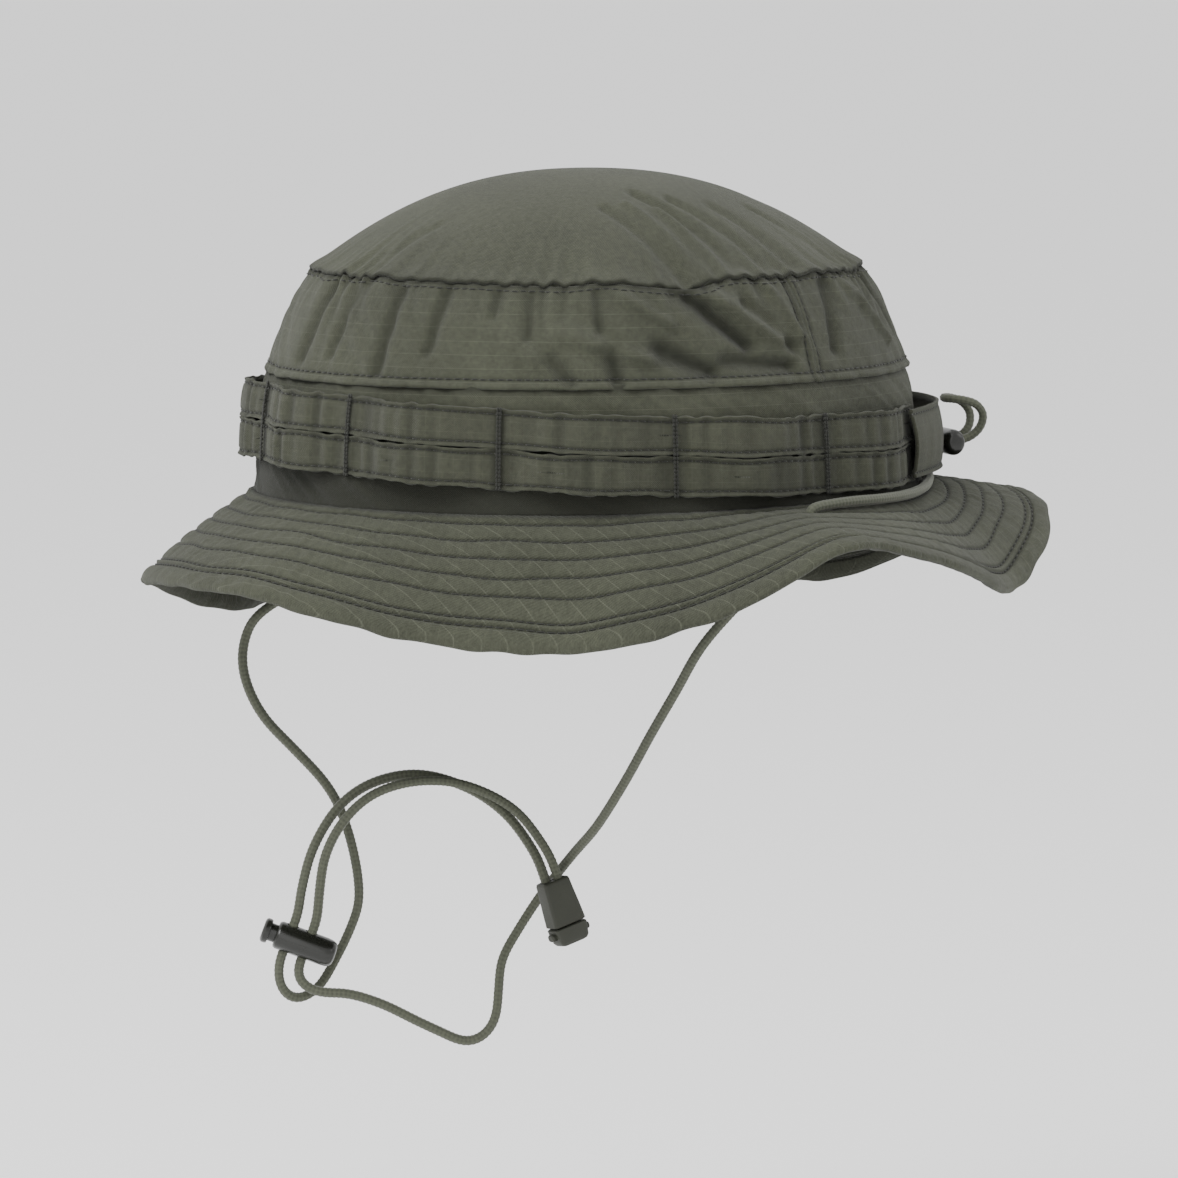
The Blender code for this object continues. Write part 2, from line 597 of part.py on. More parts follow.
def make_cords():
    lock = chin_lock_frame()
    end = end_frame()
    strands = (("chin_cord_left", LEFT_ROUTE, LEFT_TAIL, LOCK_CORD_HOLES[0], -END_CORD_OFFSET, -1),
               ("chin_cord_right", RIGHT_ROUTE, RIGHT_TAIL, LOCK_CORD_HOLES[1], END_CORD_OFFSET, 1))
    for name, route, tail, lock_spot, end_spot, side in strands:
        centre, normal = brim_hole(side)
        points = [centre - normal * CLEARANCE, centre - normal * HOLE_STRAIGHT]
        points += [hang(*point) for point in route]
        points += [lock @ Vector((lock_spot, 0.0, z)) for z in (-LOCK_STRAIGHT, 0.0, LOCK_STRAIGHT)]
        points += [hang(*point) for point in tail]
        points += [end @ Vector((end_spot, 0.0, END_HALF_LENGTH + z))
                   for z in (END_STRAIGHT, -END_CORD_DEPTH)]
        tube(name, smooth_route(points, CORD_STEP), CORD_RADIUS, CORD_FINISH)

    points = []
    for side in (1, -1):
        centre, normal = brim_hole(side)
        turn = [centre + normal * CLEARANCE, centre + normal * BACK_LIFT]
        points.append(turn if side == 1 else turn[::-1])
    middle = []
    for angle, out, height in BACK_ROUTE:
        base = wall_point(angle, max(height, 0.0), out)
        middle.append(Vector((base.x, base.y, height)))
    route = smooth_route(points[0] + middle + points[1], CORD_STEP)
    tube("chin_cord_back", route, CORD_RADIUS, CORD_FINISH)

    half = [Vector(point) for point in DRAWCORD_ROUTE]
    other = [Vector((-point.x, point.y, point.z)) for point in half[-2::-1]]
    tube("rear_drawcord", smooth_route(half + other, DRAWCORD_STEP), DRAWCORD_RADIUS, CORD_FINISH)


def main():
    clear_scene()
    make_crown()
    make_brim()
    make_tapes()
    make_lock("chin_lock", chin_lock_frame(), 1.0, LOCK_CORD_HOLES, CORD_RADIUS)
    make_lock("rear_lock", rear_lock_frame(), REAR_LOCK_GIRTH, REAR_CORD_HOLES, DRAWCORD_RADIUS)
    make_cord_end()
    make_cords()


main()
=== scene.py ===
import math

import bmesh
import bpy
import numpy as np
from mathutils import Matrix, Quaternion, Vector


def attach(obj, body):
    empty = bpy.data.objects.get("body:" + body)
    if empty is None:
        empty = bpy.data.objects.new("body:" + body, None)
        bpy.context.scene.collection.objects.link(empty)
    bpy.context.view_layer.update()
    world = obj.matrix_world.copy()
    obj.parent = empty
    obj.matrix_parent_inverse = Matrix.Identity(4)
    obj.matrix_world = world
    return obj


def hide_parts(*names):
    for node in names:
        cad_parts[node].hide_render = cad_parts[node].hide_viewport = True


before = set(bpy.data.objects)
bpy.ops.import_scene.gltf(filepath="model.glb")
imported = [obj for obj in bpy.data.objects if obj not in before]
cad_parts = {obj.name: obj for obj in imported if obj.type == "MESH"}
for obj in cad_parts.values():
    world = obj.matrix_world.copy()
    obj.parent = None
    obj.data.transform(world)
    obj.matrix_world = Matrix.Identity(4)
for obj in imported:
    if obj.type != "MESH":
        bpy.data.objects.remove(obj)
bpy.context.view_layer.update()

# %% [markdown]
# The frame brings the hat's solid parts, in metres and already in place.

MM = 0.001

# %% [markdown]
# The camera looks at the hat from the wearer's left and a little above, so the front is at the
# left of the picture. A long lens keeps the crown from bulging. It could be aimed with a
# constraint, but a plain rotation stays put when other views move the camera.

# %% Camera
VIEW_TURN = math.radians(70.0)   # round from the front, towards the wearer's left
VIEW_RISE = math.radians(7.0)
VIEW_DISTANCE = 1.5        # metres
VIEW_SCALE = 0.30          # millimetres in a pixel at the hat's axis
PICTURE_SIZE = 1178        # pixels
ORIGIN_PIXEL = (589.0, 487.0)
SENSOR = 36.0


def new_object(name, data):
    made = bpy.data.objects.new(name, data)
    bpy.context.scene.collection.objects.link(made)
    return made


VIEW_RIGHT = Vector((math.cos(VIEW_TURN), math.sin(VIEW_TURN), 0.0))
VIEW_BACK = Vector((math.sin(VIEW_TURN) * math.cos(VIEW_RISE), -math.cos(VIEW_TURN) * math.cos(VIEW_RISE),
                    math.sin(VIEW_RISE)))
VIEW_UP = VIEW_BACK.cross(VIEW_RIGHT)
aim = VIEW_RIGHT * ((PICTURE_SIZE / 2 - ORIGIN_PIXEL[0]) * VIEW_SCALE * MM)
aim -= VIEW_UP * ((PICTURE_SIZE / 2 - ORIGIN_PIXEL[1]) * VIEW_SCALE * MM)

camera_data = bpy.data.cameras.new("camera")
camera_data.sensor_width = SENSOR
camera_data.lens = VIEW_DISTANCE * SENSOR / (PICTURE_SIZE * VIEW_SCALE * MM)
camera = new_object("camera", camera_data)
camera.matrix_world = Matrix.Translation(aim + VIEW_BACK * VIEW_DISTANCE) @ Matrix(
    (VIEW_RIGHT, VIEW_UP, VIEW_BACK)).transposed().to_4x4()
bpy.context.scene.camera = camera
print("lens:", round(camera_data.lens, 1))

# %% [markdown]
# A hat in a catalogue is lit by big soft boxes, so nothing throws a hard shadow. One large lamp
# above and in front, one weaker at each side of the picture, and a white world do the same here.

# %% Lights
# Name, place, size and power of each lamp.
LAMPS = [("key", (0.5, -1.2, 1.5), 1.1, 42.0), ("left_fill", (1.8, -1.0, 0.6), 1.6, 9.0),
         ("right_fill", (1.1, 1.6, 1.1), 1.2, 8.0)]
WHITE = (1.0, 1.0, 1.0, 1.0)
WORLD_STRENGTH = 1.35

for name, place, size, power in LAMPS:
    lamp_data = bpy.data.lights.new(name, "AREA")
    lamp_data.size = size
    lamp_data.energy = power
    lamp = new_object(name, lamp_data)
    lamp.location = place
    lamp.rotation_euler = (-Vector(place)).to_track_quat("-Z", "Y").to_euler()

world = bpy.data.worlds.new("studio")
world.use_nodes = True
sky = world.node_tree.nodes["Background"].inputs
sky["Color"].default_value = WHITE
sky["Strength"].default_value = WORLD_STRENGTH
bpy.context.scene.world = world
print("lamps:", len(LAMPS))

# %% [markdown]
# In the photograph the hat hangs over plain white. A curved backdrop would do; one pale floor, well
# below the cords and wide enough to fill every view, is simpler and sends light up under the brim.

# %% Floor
FLOOR_HEIGHT = -0.30       # metres, as is its size
FLOOR_SIZE = 240.0
FLOOR_PAINT = {"Base Color": (0.92, 0.92, 0.92, 1.0), "Roughness": 0.9}

half = FLOOR_SIZE / 2
floor_mesh = bpy.data.meshes.new("floor")
floor_mesh.from_pydata([(x, y, FLOOR_HEIGHT) for x, y in ((-half, -half), (half, -half), (half, half),
                                                          (-half, half))], [], [(0, 1, 2, 3)])
floor = new_object("floor", floor_mesh)
floor_finish = bpy.data.materials.new("pale floor")
floor_finish.use_nodes = True
for socket, value in FLOOR_PAINT.items():
    floor_finish.node_tree.nodes["Principled BSDF"].inputs[socket].default_value = value
floor_mesh.materials.append(floor_finish)
print("floor at", FLOOR_HEIGHT, "m")

# %% [markdown]
# Cloth, cord and plastic are all drawn by shader nodes. Written out node by node that is long and
# hard to read, so one small class wraps a socket and lets sums be written as sums.


# %% Shader sums
class Wire:
    """A socket that can be added, taken away, multiplied and compared like a number."""

    def __init__(self, finish, socket):
        self.finish = finish
        self.socket = socket

    def sum(self, operation, first, second):
        return self.finish.node("ShaderNodeMath", {"operation": operation}, {0: first, 1: second})

    def __add__(self, other):
        return self.sum("ADD", self, other)

    def __sub__(self, other):
        return self.sum("SUBTRACT", self, other)

    def __mul__(self, other):
        return self.sum("MULTIPLY", self, other)

    def sine(self):
        return self.sum("SINE", self, 0.0)

    def zigzag(self, size):
        return self.sum("PINGPONG", self, size)

    def below(self, edge, softness):
        """1 under the edge and 0 above it, with a soft step between."""
        return self.finish.node("ShaderNodeMapRange", {"clamp": True, "interpolation_type": "SMOOTHSTEP"},
                                {"Value": self, 1: edge - softness, 2: edge + softness, 3: 1.0, 4: 0.0})


# %% [markdown]
# Every finish starts from Blender's Principled shader. The class below keeps a material together with
# its nodes, and one method makes any node, so that each finish is only a few lines of sums.

# %% One finish
SHINE = 0.3                # cloth and moulded plastic are duller than varnish


class Finish:
    """One material, with its Principled shader and the nodes that feed it."""

    def __init__(self, name, roughness, metallic=0.0, sheen=0.0, coat=0.0):
        self.material = bpy.data.materials.new(name)
        self.material.use_nodes = True
        self.tree = self.material.node_tree
        self.shader = self.tree.nodes["Principled BSDF"]
        even = {"Roughness": roughness, "Metallic": metallic, "Sheen Weight": sheen, "Coat Weight": coat,
                "Specular IOR Level": SHINE}
        for socket, value in even.items():
            self.shader.inputs[socket].default_value = value

    def node(self, kind, settings, sockets, output=0):
        made = self.tree.nodes.new(kind)
        for key, value in settings.items():
            setattr(made, key, value)
        for key, value in sockets.items():
            if isinstance(value, Wire):
                self.tree.links.new(value.socket, made.inputs[key])
            else:
                made.inputs[key].default_value = value
        return Wire(self, made.outputs[output])

    def feed(self, name, wire):
        self.tree.links.new(wire.socket, self.shader.inputs[name])

    def cloth_place(self):
        """Both coordinates of the cloth's own map, in millimetres."""
        place = self.node("ShaderNodeUVMap", {"uv_map": "cloth"}, {})
        across = self.node("ShaderNodeSeparateXYZ", {}, {0: place})
        along = Wire(self, across.socket.node.outputs[1])
        return across * (1 / MM), along * (1 / MM)

    def painted_shade(self):
        """How much shade is painted at a point, as its mesh stores it."""
        return self.node("ShaderNodeAttribute", {"attribute_name": "painted_shade"}, {}, "Fac")

    def noise(self, scale, detail):
        place = self.node("ShaderNodeTexCoord", {}, {}, "Object")
        return self.node("ShaderNodeTexNoise", {}, {"Vector": place, "Scale": scale, "Detail": detail})

    def blend(self, share, low, high):
        return self.node("ShaderNodeMix", {"data_type": "RGBA"}, {0: share, 6: low, 7: high}, 2)

    def bump(self, height, distance):
        self.feed("Normal", self.node("ShaderNodeBump", {}, {"Height": height, "Distance": distance}))


# %% [markdown]
# The hat is sewn from ripstop: a plain weave with a thicker thread every few millimetres each way.
# A picture of cloth could be used, but sums of waves stay sharp close up. They run on a flat map that
# follows each piece, so the weave turns with the cut.

# %% Cloth finishes
HAT_GREEN = (0.054, 0.058, 0.039, 1.0)
TAPE_GREEN = (0.05, 0.053, 0.036, 1.0)
HAT_PALE = (0.088, 0.093, 0.068, 1.0)
HAT_DARK = (0.014, 0.015, 0.01, 1.0)
# Darker copies of the hat's colours: painted shade, for the brim's underside and the sweatband inside the
# crown.
PAINTED_SHADE_GREEN = (0.02, 0.021, 0.015, 1.0)
PAINTED_SHADE_DARK = (0.006, 0.0065, 0.0045, 1.0)
# Colours of a cloth: its body, its thick threads, and a dark one for its darker tones and its painted groove
# shade.
HAT_COLOURS = (HAT_GREEN, HAT_PALE, HAT_DARK)
TAPE_COLOURS = (TAPE_GREEN, HAT_PALE, HAT_DARK)
PAINTED_SHADE_COLOURS = (PAINTED_SHADE_GREEN, HAT_GREEN, PAINTED_SHADE_DARK)
CLOTH_ROUGHNESS = 0.95
CLOTH_SHEEN = 0.06
RIP_PITCH = 3.8
RIP_WIDTH = 0.1
RIP_SOFTNESS = 0.08
WEAVE_PITCH = 0.62
# Scale and detail of each noise.
FADE = (24.0, 4.0)         # slow change over a panel
SLUB = (700.0, 3.0)        # uneven yarn
GRAIN = (2600.0, 2.0)      # fibres
WORN = (380.0, 2.0)        # where thick threads are rubbed
# How much each of them shows in the colour, and how much in the bump, and how strong the painted groove shade
# is.
FADE_SHADE = 0.8
SLUB_SHADE = 0.75
GRAIN_SHADE = 0.5
WEAVE_SHADE = 0.06
SHADE_SHIFT = 0.42
RIP_SHADE = 1.7
HOLLOW_SHADE = 0.6
HOLLOW_SHADE_SPREAD = 0.5
WEAVE_BUMP = 0.3
RIP_BUMP = 0.5
SLUB_BUMP = 0.9
GRAIN_BUMP = 0.5
CLOTH_BUMP = 0.00026       # metres
BIAS = 38.0                # degrees that the brim's weave is turned


def ripstop(name, colours, along_strength, across_strength, slant=0.0):
    colour, pale, dark = colours
    finish = Finish(name, roughness=CLOTH_ROUGHNESS, sheen=CLOTH_SHEEN)
    across, along = finish.cloth_place()
    if slant:
        angle = math.radians(slant)
        across, along = (across * math.cos(angle) + along * math.sin(angle),
                         along * math.cos(angle) - across * math.sin(angle))
    wave = 2 * math.pi / WEAVE_PITCH
    weave = (across * wave).sine() * (along * wave).sine()
    rip = (across.zigzag(RIP_PITCH / 2).below(RIP_WIDTH, RIP_SOFTNESS) * across_strength
           + along.zigzag(RIP_PITCH / 2).below(RIP_WIDTH, RIP_SOFTNESS) * along_strength)
    fade = finish.noise(*FADE)
    slub = finish.noise(*SLUB)
    grain = finish.noise(*GRAIN)
    worn = finish.noise(*WORN)
    shade = fade * FADE_SHADE + slub * SLUB_SHADE + grain * GRAIN_SHADE + weave * WEAVE_SHADE - SHADE_SHIFT
    body = finish.blend(shade, dark, colour)
    body = finish.blend(rip * worn * RIP_SHADE, body, pale)
    # Painted shade: the mesh's stored shade darkens its grooves, gathers and creases, a little unevenly.
    groove = finish.painted_shade() * (worn * HOLLOW_SHADE_SPREAD + HOLLOW_SHADE)
    finish.feed("Base Color", finish.blend(groove, body, dark))
    finish.bump(weave * WEAVE_BUMP + rip * RIP_BUMP + slub * SLUB_BUMP + grain * GRAIN_BUMP, CLOTH_BUMP)
    return finish.material


top_finish = ripstop("crown top ripstop", HAT_COLOURS, 0.1, 0.03)
cloth_finish = ripstop("hat ripstop", HAT_COLOURS, 0.36, 0.06)
brim_finish = ripstop("brim ripstop", HAT_COLOURS, 0.5, 0.12, slant=BIAS)
# The brim's underside is the same cloth as its top, and the sweatband lies inside the crown; both get painted
# shade.
under_painted_shade_finish = ripstop("brim underside ripstop in painted shade", PAINTED_SHADE_COLOURS, 0.3, 0.1, slant=BIAS)
tape_finish = ripstop("tape ripstop", TAPE_COLOURS, 0.2, 0.15)
lining_finish = ripstop("sweatband cloth", PAINTED_SHADE_COLOURS, 0.1, 0.05)
print("cloth finishes made, thick threads every", RIP_PITCH, "mm")

# %% [markdown]
# Sewing thread is dark and twisted. The cord is braided nylon, whose braid is in its mesh, so its
# finish only paints shade into the grooves between yarns and adds fine streaks.

# %% Thread and cord finishes
THREAD_DARK = (0.005, 0.0055, 0.004, 1.0)
THREAD_PALE = (0.016, 0.017, 0.012, 1.0)
THREAD_TWIST = (2500.0, 1.0)
CORD_DARK = (0.008, 0.009, 0.006, 1.0)
CORD_PALE = (0.064, 0.069, 0.047, 1.0)
CORD_STREAK = (900.0, 2.0)
CORD_FIBRE = (4000.0, 2.0)
CORD_BUMP = 0.0001         # metres
STREAK_SHADE = 0.5
BRAID_SHADE = 0.8


def thread():
    finish = Finish("sewing thread", roughness=0.7, sheen=0.1)
    finish.feed("Base Color", finish.blend(finish.noise(*THREAD_TWIST), THREAD_DARK, THREAD_PALE))
    return finish.material


def cord_braid():
    finish = Finish("braided cord", roughness=0.75, sheen=0.15)
    # Painted shade: darker in the braid's grooves, from the mesh's stored shade; the streaks are the yarn's
    # own tone.
    shade = finish.noise(*CORD_STREAK) * STREAK_SHADE + 1.0 - finish.painted_shade() * BRAID_SHADE
    finish.feed("Base Color", finish.blend(shade, CORD_DARK, CORD_PALE))
    finish.bump(finish.noise(*CORD_FIBRE), CORD_BUMP)
    return finish.material


stitch_finish = thread()
cord_finish = cord_braid()
print("made:", stitch_finish.name, "and", cord_finish.name)

# %% [markdown]
# The locks are glossy dark plastic and the end piece a duller olive one; both have a fine moulded
# grain and rubbed patches. The springs inside the locks keep their solid shape and get drawn wire.

# %% Plastic and steel finishes
LOCK_DARK = (0.005, 0.0055, 0.004, 1.0)
LOCK_PALE = (0.012, 0.0125, 0.01, 1.0)
OLIVE_DARK = (0.016, 0.017, 0.012, 1.0)
OLIVE_PALE = (0.028, 0.03, 0.021, 1.0)
STEEL_DARK = (0.35, 0.35, 0.34, 1.0)
STEEL_PALE = (0.6, 0.6, 0.58, 1.0)
MOULD_GRAIN = (1800.0, 2.0)
MOULD_WEAR = (90.0, 4.0)
MOULD_SPREAD = 0.12        # how far grain and wear each change the roughness
MOULD_BUMP = 0.00004       # metres
WIRE_STREAK = (700.0, 2.0)


def plastic(name, dark, pale, roughness, coat):
    finish = Finish(name, roughness=roughness, coat=coat)
    grain = finish.noise(*MOULD_GRAIN)
    wear = finish.noise(*MOULD_WEAR)
    finish.feed("Base Color", finish.blend(wear, dark, pale))
    finish.feed("Roughness", grain * MOULD_SPREAD + wear * MOULD_SPREAD + (roughness - MOULD_SPREAD))
    finish.bump(grain, MOULD_BUMP)
    return finish.material


def steel():
    finish = Finish("spring wire", roughness=0.3, metallic=1.0)
    finish.feed("Base Color", finish.blend(finish.noise(*WIRE_STREAK), STEEL_DARK, STEEL_PALE))
    return finish.material


dark_plastic = plastic("dark lock plastic", LOCK_DARK, LOCK_PALE, roughness=0.3, coat=0.25)
olive_plastic = plastic("olive end plastic", OLIVE_DARK, OLIVE_PALE, roughness=0.55, coat=0.0)
spring_finish = steel()
for spring in ("chin_lock_spring", "rear_lock_spring"):
    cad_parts[spring].data.materials.clear()
    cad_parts[spring].data.materials.append(spring_finish)
print("finishes in all:", len(bpy.data.materials))

# %% [markdown]
# Every piece of the hat is placed by an angle round the head, measured from the front, and by a
# height or a distance from a seam, in millimetres and degrees. These few functions turn such a
# place into a point. Ripples, the small waves that no sewn cloth is without, are made here too.

# %% Crown wall
HALF_WIDTH = 86.0          # of the head opening
HALF_LENGTH = 101.0
# Share of the opening's size that is left at each height.
WALL_PROFILE = [(0.0, 1.0), (37.0, 0.96), (50.0, 0.914), (59.0, 0.872), (66.5, 0.822)]
TOP_SEAM_HEIGHT, TOP_SHARE = WALL_PROFILE[-1]
FRONT_LEAN = 0.5           # the top sits this far forward
MM_PER_DEGREE = 1.53       # round the crown
RIPPLE_WAVES = 8


def near(distance, width, size=1.0):
    """The full size on a line, fading to 0 away from it."""
    return size * np.exp(-(distance / width) ** 2)


def signed(angle):
    return (angle + 180) % 360 - 180


def smooth_table(table, position):
    """Smooth reading of a short (position, value) table."""
    places, values = np.array(table, float).T
    slopes = np.gradient(values, places)
    position = np.clip(position, places[0], places[-1])
    index = np.clip(np.searchsorted(places, position, side="right") - 1, 0, len(places) - 2)
    width = places[index + 1] - places[index]
    share = (position - places[index]) / width
    return ((2 * share ** 3 - 3 * share ** 2 + 1) * values[index]
            + (share ** 3 - 2 * share ** 2 + share) * width * slopes[index]
            + (3 * share ** 2 - 2 * share ** 3) * values[index + 1]
            + (share ** 3 - share ** 2) * width * slopes[index + 1])


def ripple(angle, fewest, most, seed):
    """Uneven waves round the hat, from about -1 to 1, always the same for one seed."""
    chance = np.random.default_rng(seed)
    total = np.zeros_like(angle, dtype=float)
    for waves in chance.integers(fewest, most, RIPPLE_WAVES):
        total += np.sin(np.radians(angle) * waves + chance.uniform(0, 2 * math.pi))
    return total / (RIPPLE_WAVES / 2)


def rippled(rows, angle, later=0):
    """Ripples added up: each row gives size, fewest and most waves, and a seed that may be moved on."""
    return sum(size * ripple(angle, fewest, most, seed + later) for size, fewest, most, seed in rows)


def wall(angle, height, out=0.0):
    """Points of the crown's wall in millimetres, out from it by a distance."""
    share = smooth_table(WALL_PROFILE, height)
    around = np.radians(angle)
    lean = FRONT_LEAN * np.clip(height, 0.0, TOP_SEAM_HEIGHT) / TOP_SEAM_HEIGHT
    return np.stack([(HALF_WIDTH * share + out) * np.sin(around),
                     -(HALF_LENGTH * share + out) * np.cos(around) - lean, height + 0.0 * around], -1)


print("crown wall to", TOP_SEAM_HEIGHT, "mm")

# %% [markdown]
# The brim hangs from the crown at a slope that changes round the hat: that is what its waves are. A
# cloth simulation would find some waves, not these; a short table of slopes gives the ones that the
# photograph shows, and each radial line bends a little more towards the edge.

# %% Brim surface
BRIM_WIDTH = 43.0
BRIM_TUCK = 0.5            # it starts this far inside the wall
BRIM_STEPS = 6             # straight bits in each radial line
DROOP_AT_SEAM = 0.75       # share of the slope that a line starts with
DROOP_SOFTNESS = 4.5       # degrees over which the waves are rounded
# Crests and troughs of the waves: angle from the front, slope in degrees.
BRIM_DROOP = [(-170, 15), (-161, 40), (-150, 66), (-135, 70), (-115, 61), (-90, 55), (-60, 62), (-35, 75),
              (-16, 39), (8, 30), (26, 29), (40, 41), (54, 54), (70, 59), (87, 38), (104, 5), (122, 20),
              (140, 40), (150, 44), (160, 25), (168, 12), (180, 8)]


def rounded_droop():
    """The brim's slope at every degree, with the corners of its table rounded off."""
    degrees = np.arange(-180, 180)
    droop = np.interp(degrees, *zip(*BRIM_DROOP), period=360)
    weight = near(signed(degrees[:, None] - degrees[None, :]), DROOP_SOFTNESS)
    return degrees, (weight * droop).sum(1) / weight.sum(1)


DROOP_ANGLES, DROOP_VALUES = rounded_droop()


def brim(angle, distance):
    """Points of the brim's middle surface at a distance out from the crown seam."""
    around = np.radians(angle)
    out = np.stack([np.sin(around) / HALF_WIDTH, -np.cos(around) / HALF_LENGTH, 0.0 * around], -1)
    out /= np.linalg.norm(out, axis=-1, keepdims=True)
    droop = np.radians(np.interp(angle, DROOP_ANGLES, DROOP_VALUES, period=360))
    along = distance / BRIM_WIDTH
    reach = 0.0
    drop = 0.0
    for step in range(BRIM_STEPS):
        slope = droop * (DROOP_AT_SEAM + 2 * (1 - DROOP_AT_SEAM) * along * (step + 0.5) / BRIM_STEPS)
        reach = reach + np.cos(slope) * distance / BRIM_STEPS
        drop = drop + np.sin(slope) * distance / BRIM_STEPS
    points = wall(angle, 0.0 * around, -BRIM_TUCK) + out * np.asarray(reach)[..., None]
    points[..., 2] -= drop
    return points


print("brim slopes from", round(DROOP_VALUES.min()), "to", round(DROOP_VALUES.max()), "degrees")

# %% [markdown]
# Cloth and cords are grids of points, so a few functions turn any grid into a mesh. Each mesh carries
# a flat map for the weave, and may carry a value of painted shade for its grooves.


# %% Meshes from grids
def grid_normals(points, closed):
    """Outward directions of a grid of points, rows by columns."""
    if closed:
        padded = np.concatenate([points[:, -1:], points, points[:, :1]], 1)
        across = np.gradient(padded, axis=1)[:, 1:-1]
    else:
        across = np.gradient(points, axis=1)
    normal = np.cross(across, np.gradient(points, axis=0))
    return normal / np.maximum(np.linalg.norm(normal, axis=-1, keepdims=True), 1e-9)


def grid_faces(rows, columns, closed, start=0, flip=False):
    row, column = np.meshgrid(np.arange(rows - 1), np.arange(columns if closed else columns - 1),
                              indexing="ij")
    following = (column + 1) % columns
    quads = np.stack([row * columns + column, row * columns + following,
                      (row + 1) * columns + following, (row + 1) * columns + column], -1).reshape(-1, 4)
    return (quads[:, ::-1] if flip else quads) + start


def make_mesh(name, points, faces, cloth_map, finish, painted_shade=None):
    """A smooth mesh object from points in millimetres, with its flat map in metres."""
    data = bpy.data.meshes.new(name)
    data.from_pydata((points * MM).tolist(), [], faces)
    layer = data.uv_layers.new(name="cloth")
    corners = np.empty(len(data.loops), dtype=np.int32)
    data.loops.foreach_get("vertex_index", corners)
    layer.data.foreach_set("uv", (cloth_map[corners] * MM).astype(np.float32).ravel())
    # Painted shade, kept at each point for the finish to darken the colour by.
    if painted_shade is not None:
        depth = data.attributes.new("painted_shade", "FLOAT", "POINT")
        depth.data.foreach_set("value", painted_shade.astype(np.float32))
    data.shade_smooth()
    data.materials.append(finish)
    return new_object(name, data)


# %% [markdown]
# The two barrel locks and the cord's end piece are moulded plastic with soft corners. Each could be a
# box with bevels; a loft through rounded sections gives the moulded look with one function, and
# plain rods cut the holes.

# %% Mouldings
LOFT_SIDES = 48
SHARP_ANGLE = 42.0         # degrees past which an edge stays crisp
# How square a section is: 2 is an ellipse.
ROUND = 2.0
PILLOW = 4.0
POCKET = 8.0
BOXY = 9.0
SQUARE = 60.0


def hang(across, towards, up):
    """From the plane that the chin cord hangs in to the hat's frame."""
    front = Vector((math.sin(VIEW_TURN), -math.cos(VIEW_TURN), 0.0))
    return VIEW_RIGHT * across + front * towards + Vector((0.0, 0.0, up))


def tilted_frame(centre, degrees):
    """Centre, length direction and cord direction of a piece that is tilted in the hanging plane."""
    tilt = math.radians(degrees)
    return hang(*centre), hang(math.cos(tilt), 0, -math.sin(tilt)), hang(math.sin(tilt), 0, math.cos(tilt))


def lofted(name, centre, length, height, sections, squareness, finish=None):
    """A closed piece through sections: place along the length, half height and half depth."""
    depth = height.cross(length)
    spin = np.linspace(0.0, 2 * math.pi, LOFT_SIDES, endpoint=False)
    ring_a = np.sign(np.cos(spin)) * np.abs(np.cos(spin)) ** (2 / squareness)
    ring_b = np.sign(np.sin(spin)) * np.abs(np.sin(spin)) ** (2 / squareness)
    points = [np.array(centre) + np.array(length) * spot
              + np.outer(ring_a * half_a, height) + np.outer(ring_b * half_b, depth)
              for spot, half_a, half_b in sections]
    last = (len(sections) - 1) * LOFT_SIDES
    faces = grid_faces(len(sections), LOFT_SIDES, True).tolist()
    faces += [list(range(LOFT_SIDES))[::-1], list(range(last, last + LOFT_SIDES))]
    data = bpy.data.meshes.new(name)
    data.from_pydata((np.concatenate(points) * MM).tolist(), [], faces)
    data.materials.append(finish)
    fix = bmesh.new()
    fix.from_mesh(data)
    bmesh.ops.recalc_face_normals(fix, faces=fix.faces)
    fix.to_mesh(data)
    fix.free()
    return new_object(name, data)


def rod(centre, direction, radius, length):
    """A round cutter through a point."""
    ends = [(-length / 2, radius, radius), (length / 2, radius, radius)]
    return lofted("cutter", centre, direction, direction.orthogonal().normalized(), ends, ROUND)


def combined(piece, others, operation):
    """Cuts other pieces out of one, or joins them to it, and leaves a plain mesh."""
    for other in others:
        step = piece.modifiers.new(operation, "BOOLEAN")
        step.operation = operation
        step.object = other
    graph = bpy.context.evaluated_depsgraph_get()
    mesh = bpy.data.meshes.new_from_object(piece.evaluated_get(graph))
    piece.modifiers.clear()
    piece.data = mesh
    for other in others:
        bpy.data.objects.remove(other, do_unlink=True)


def settle(piece, body, node):
    piece.data.shade_smooth()
    piece.data.set_sharp_from_angle(angle=math.radians(SHARP_ANGLE))
    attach(piece, body)
    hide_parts(node)
    print(piece.name, len(piece.data.polygons), "faces")
    return piece


# %% [markdown]
# A barrel lock is a hollow body with a plunger pushed into its open end by a spring. Cords pass
# through a hole across both, and the spring pinches them. The rear lock is the same, but slimmer.

# %% Barrel locks
CORD_RADIUS = 1.5
DRAWCORD_RADIUS = 1.3
HOLE_ROOM = 0.4            # round a cord, in a hole
HOLE_LENGTH = 30.0
CHIN_LOCK_CENTRE = (-87.4, 0.0, -139.0)
CHIN_LOCK_TILT = 20.5
CHIN_LOCK_GIRTH = 1.0
CHIN_CORD_HOLES = (-4.0, 2.0)
REAR_LOCK_CENTRE = (0.0, 115.7, 10.5)
REAR_LOCK_GIRTH = 0.8
REAR_CORD_HOLES = (-3.0, 3.0)
LOCK_SECTIONS = [(-8.0, 3.5, 4.1), (-7.7, 4.0, 4.7), (-7.0, 4.3, 5.0), (0.0, 4.3, 5.0), (7.5, 4.3, 5.0),
                 (9.2, 4.1, 4.8), (10.3, 3.6, 4.2), (10.8, 2.9, 3.4), (11.0, 1.9, 2.2)]
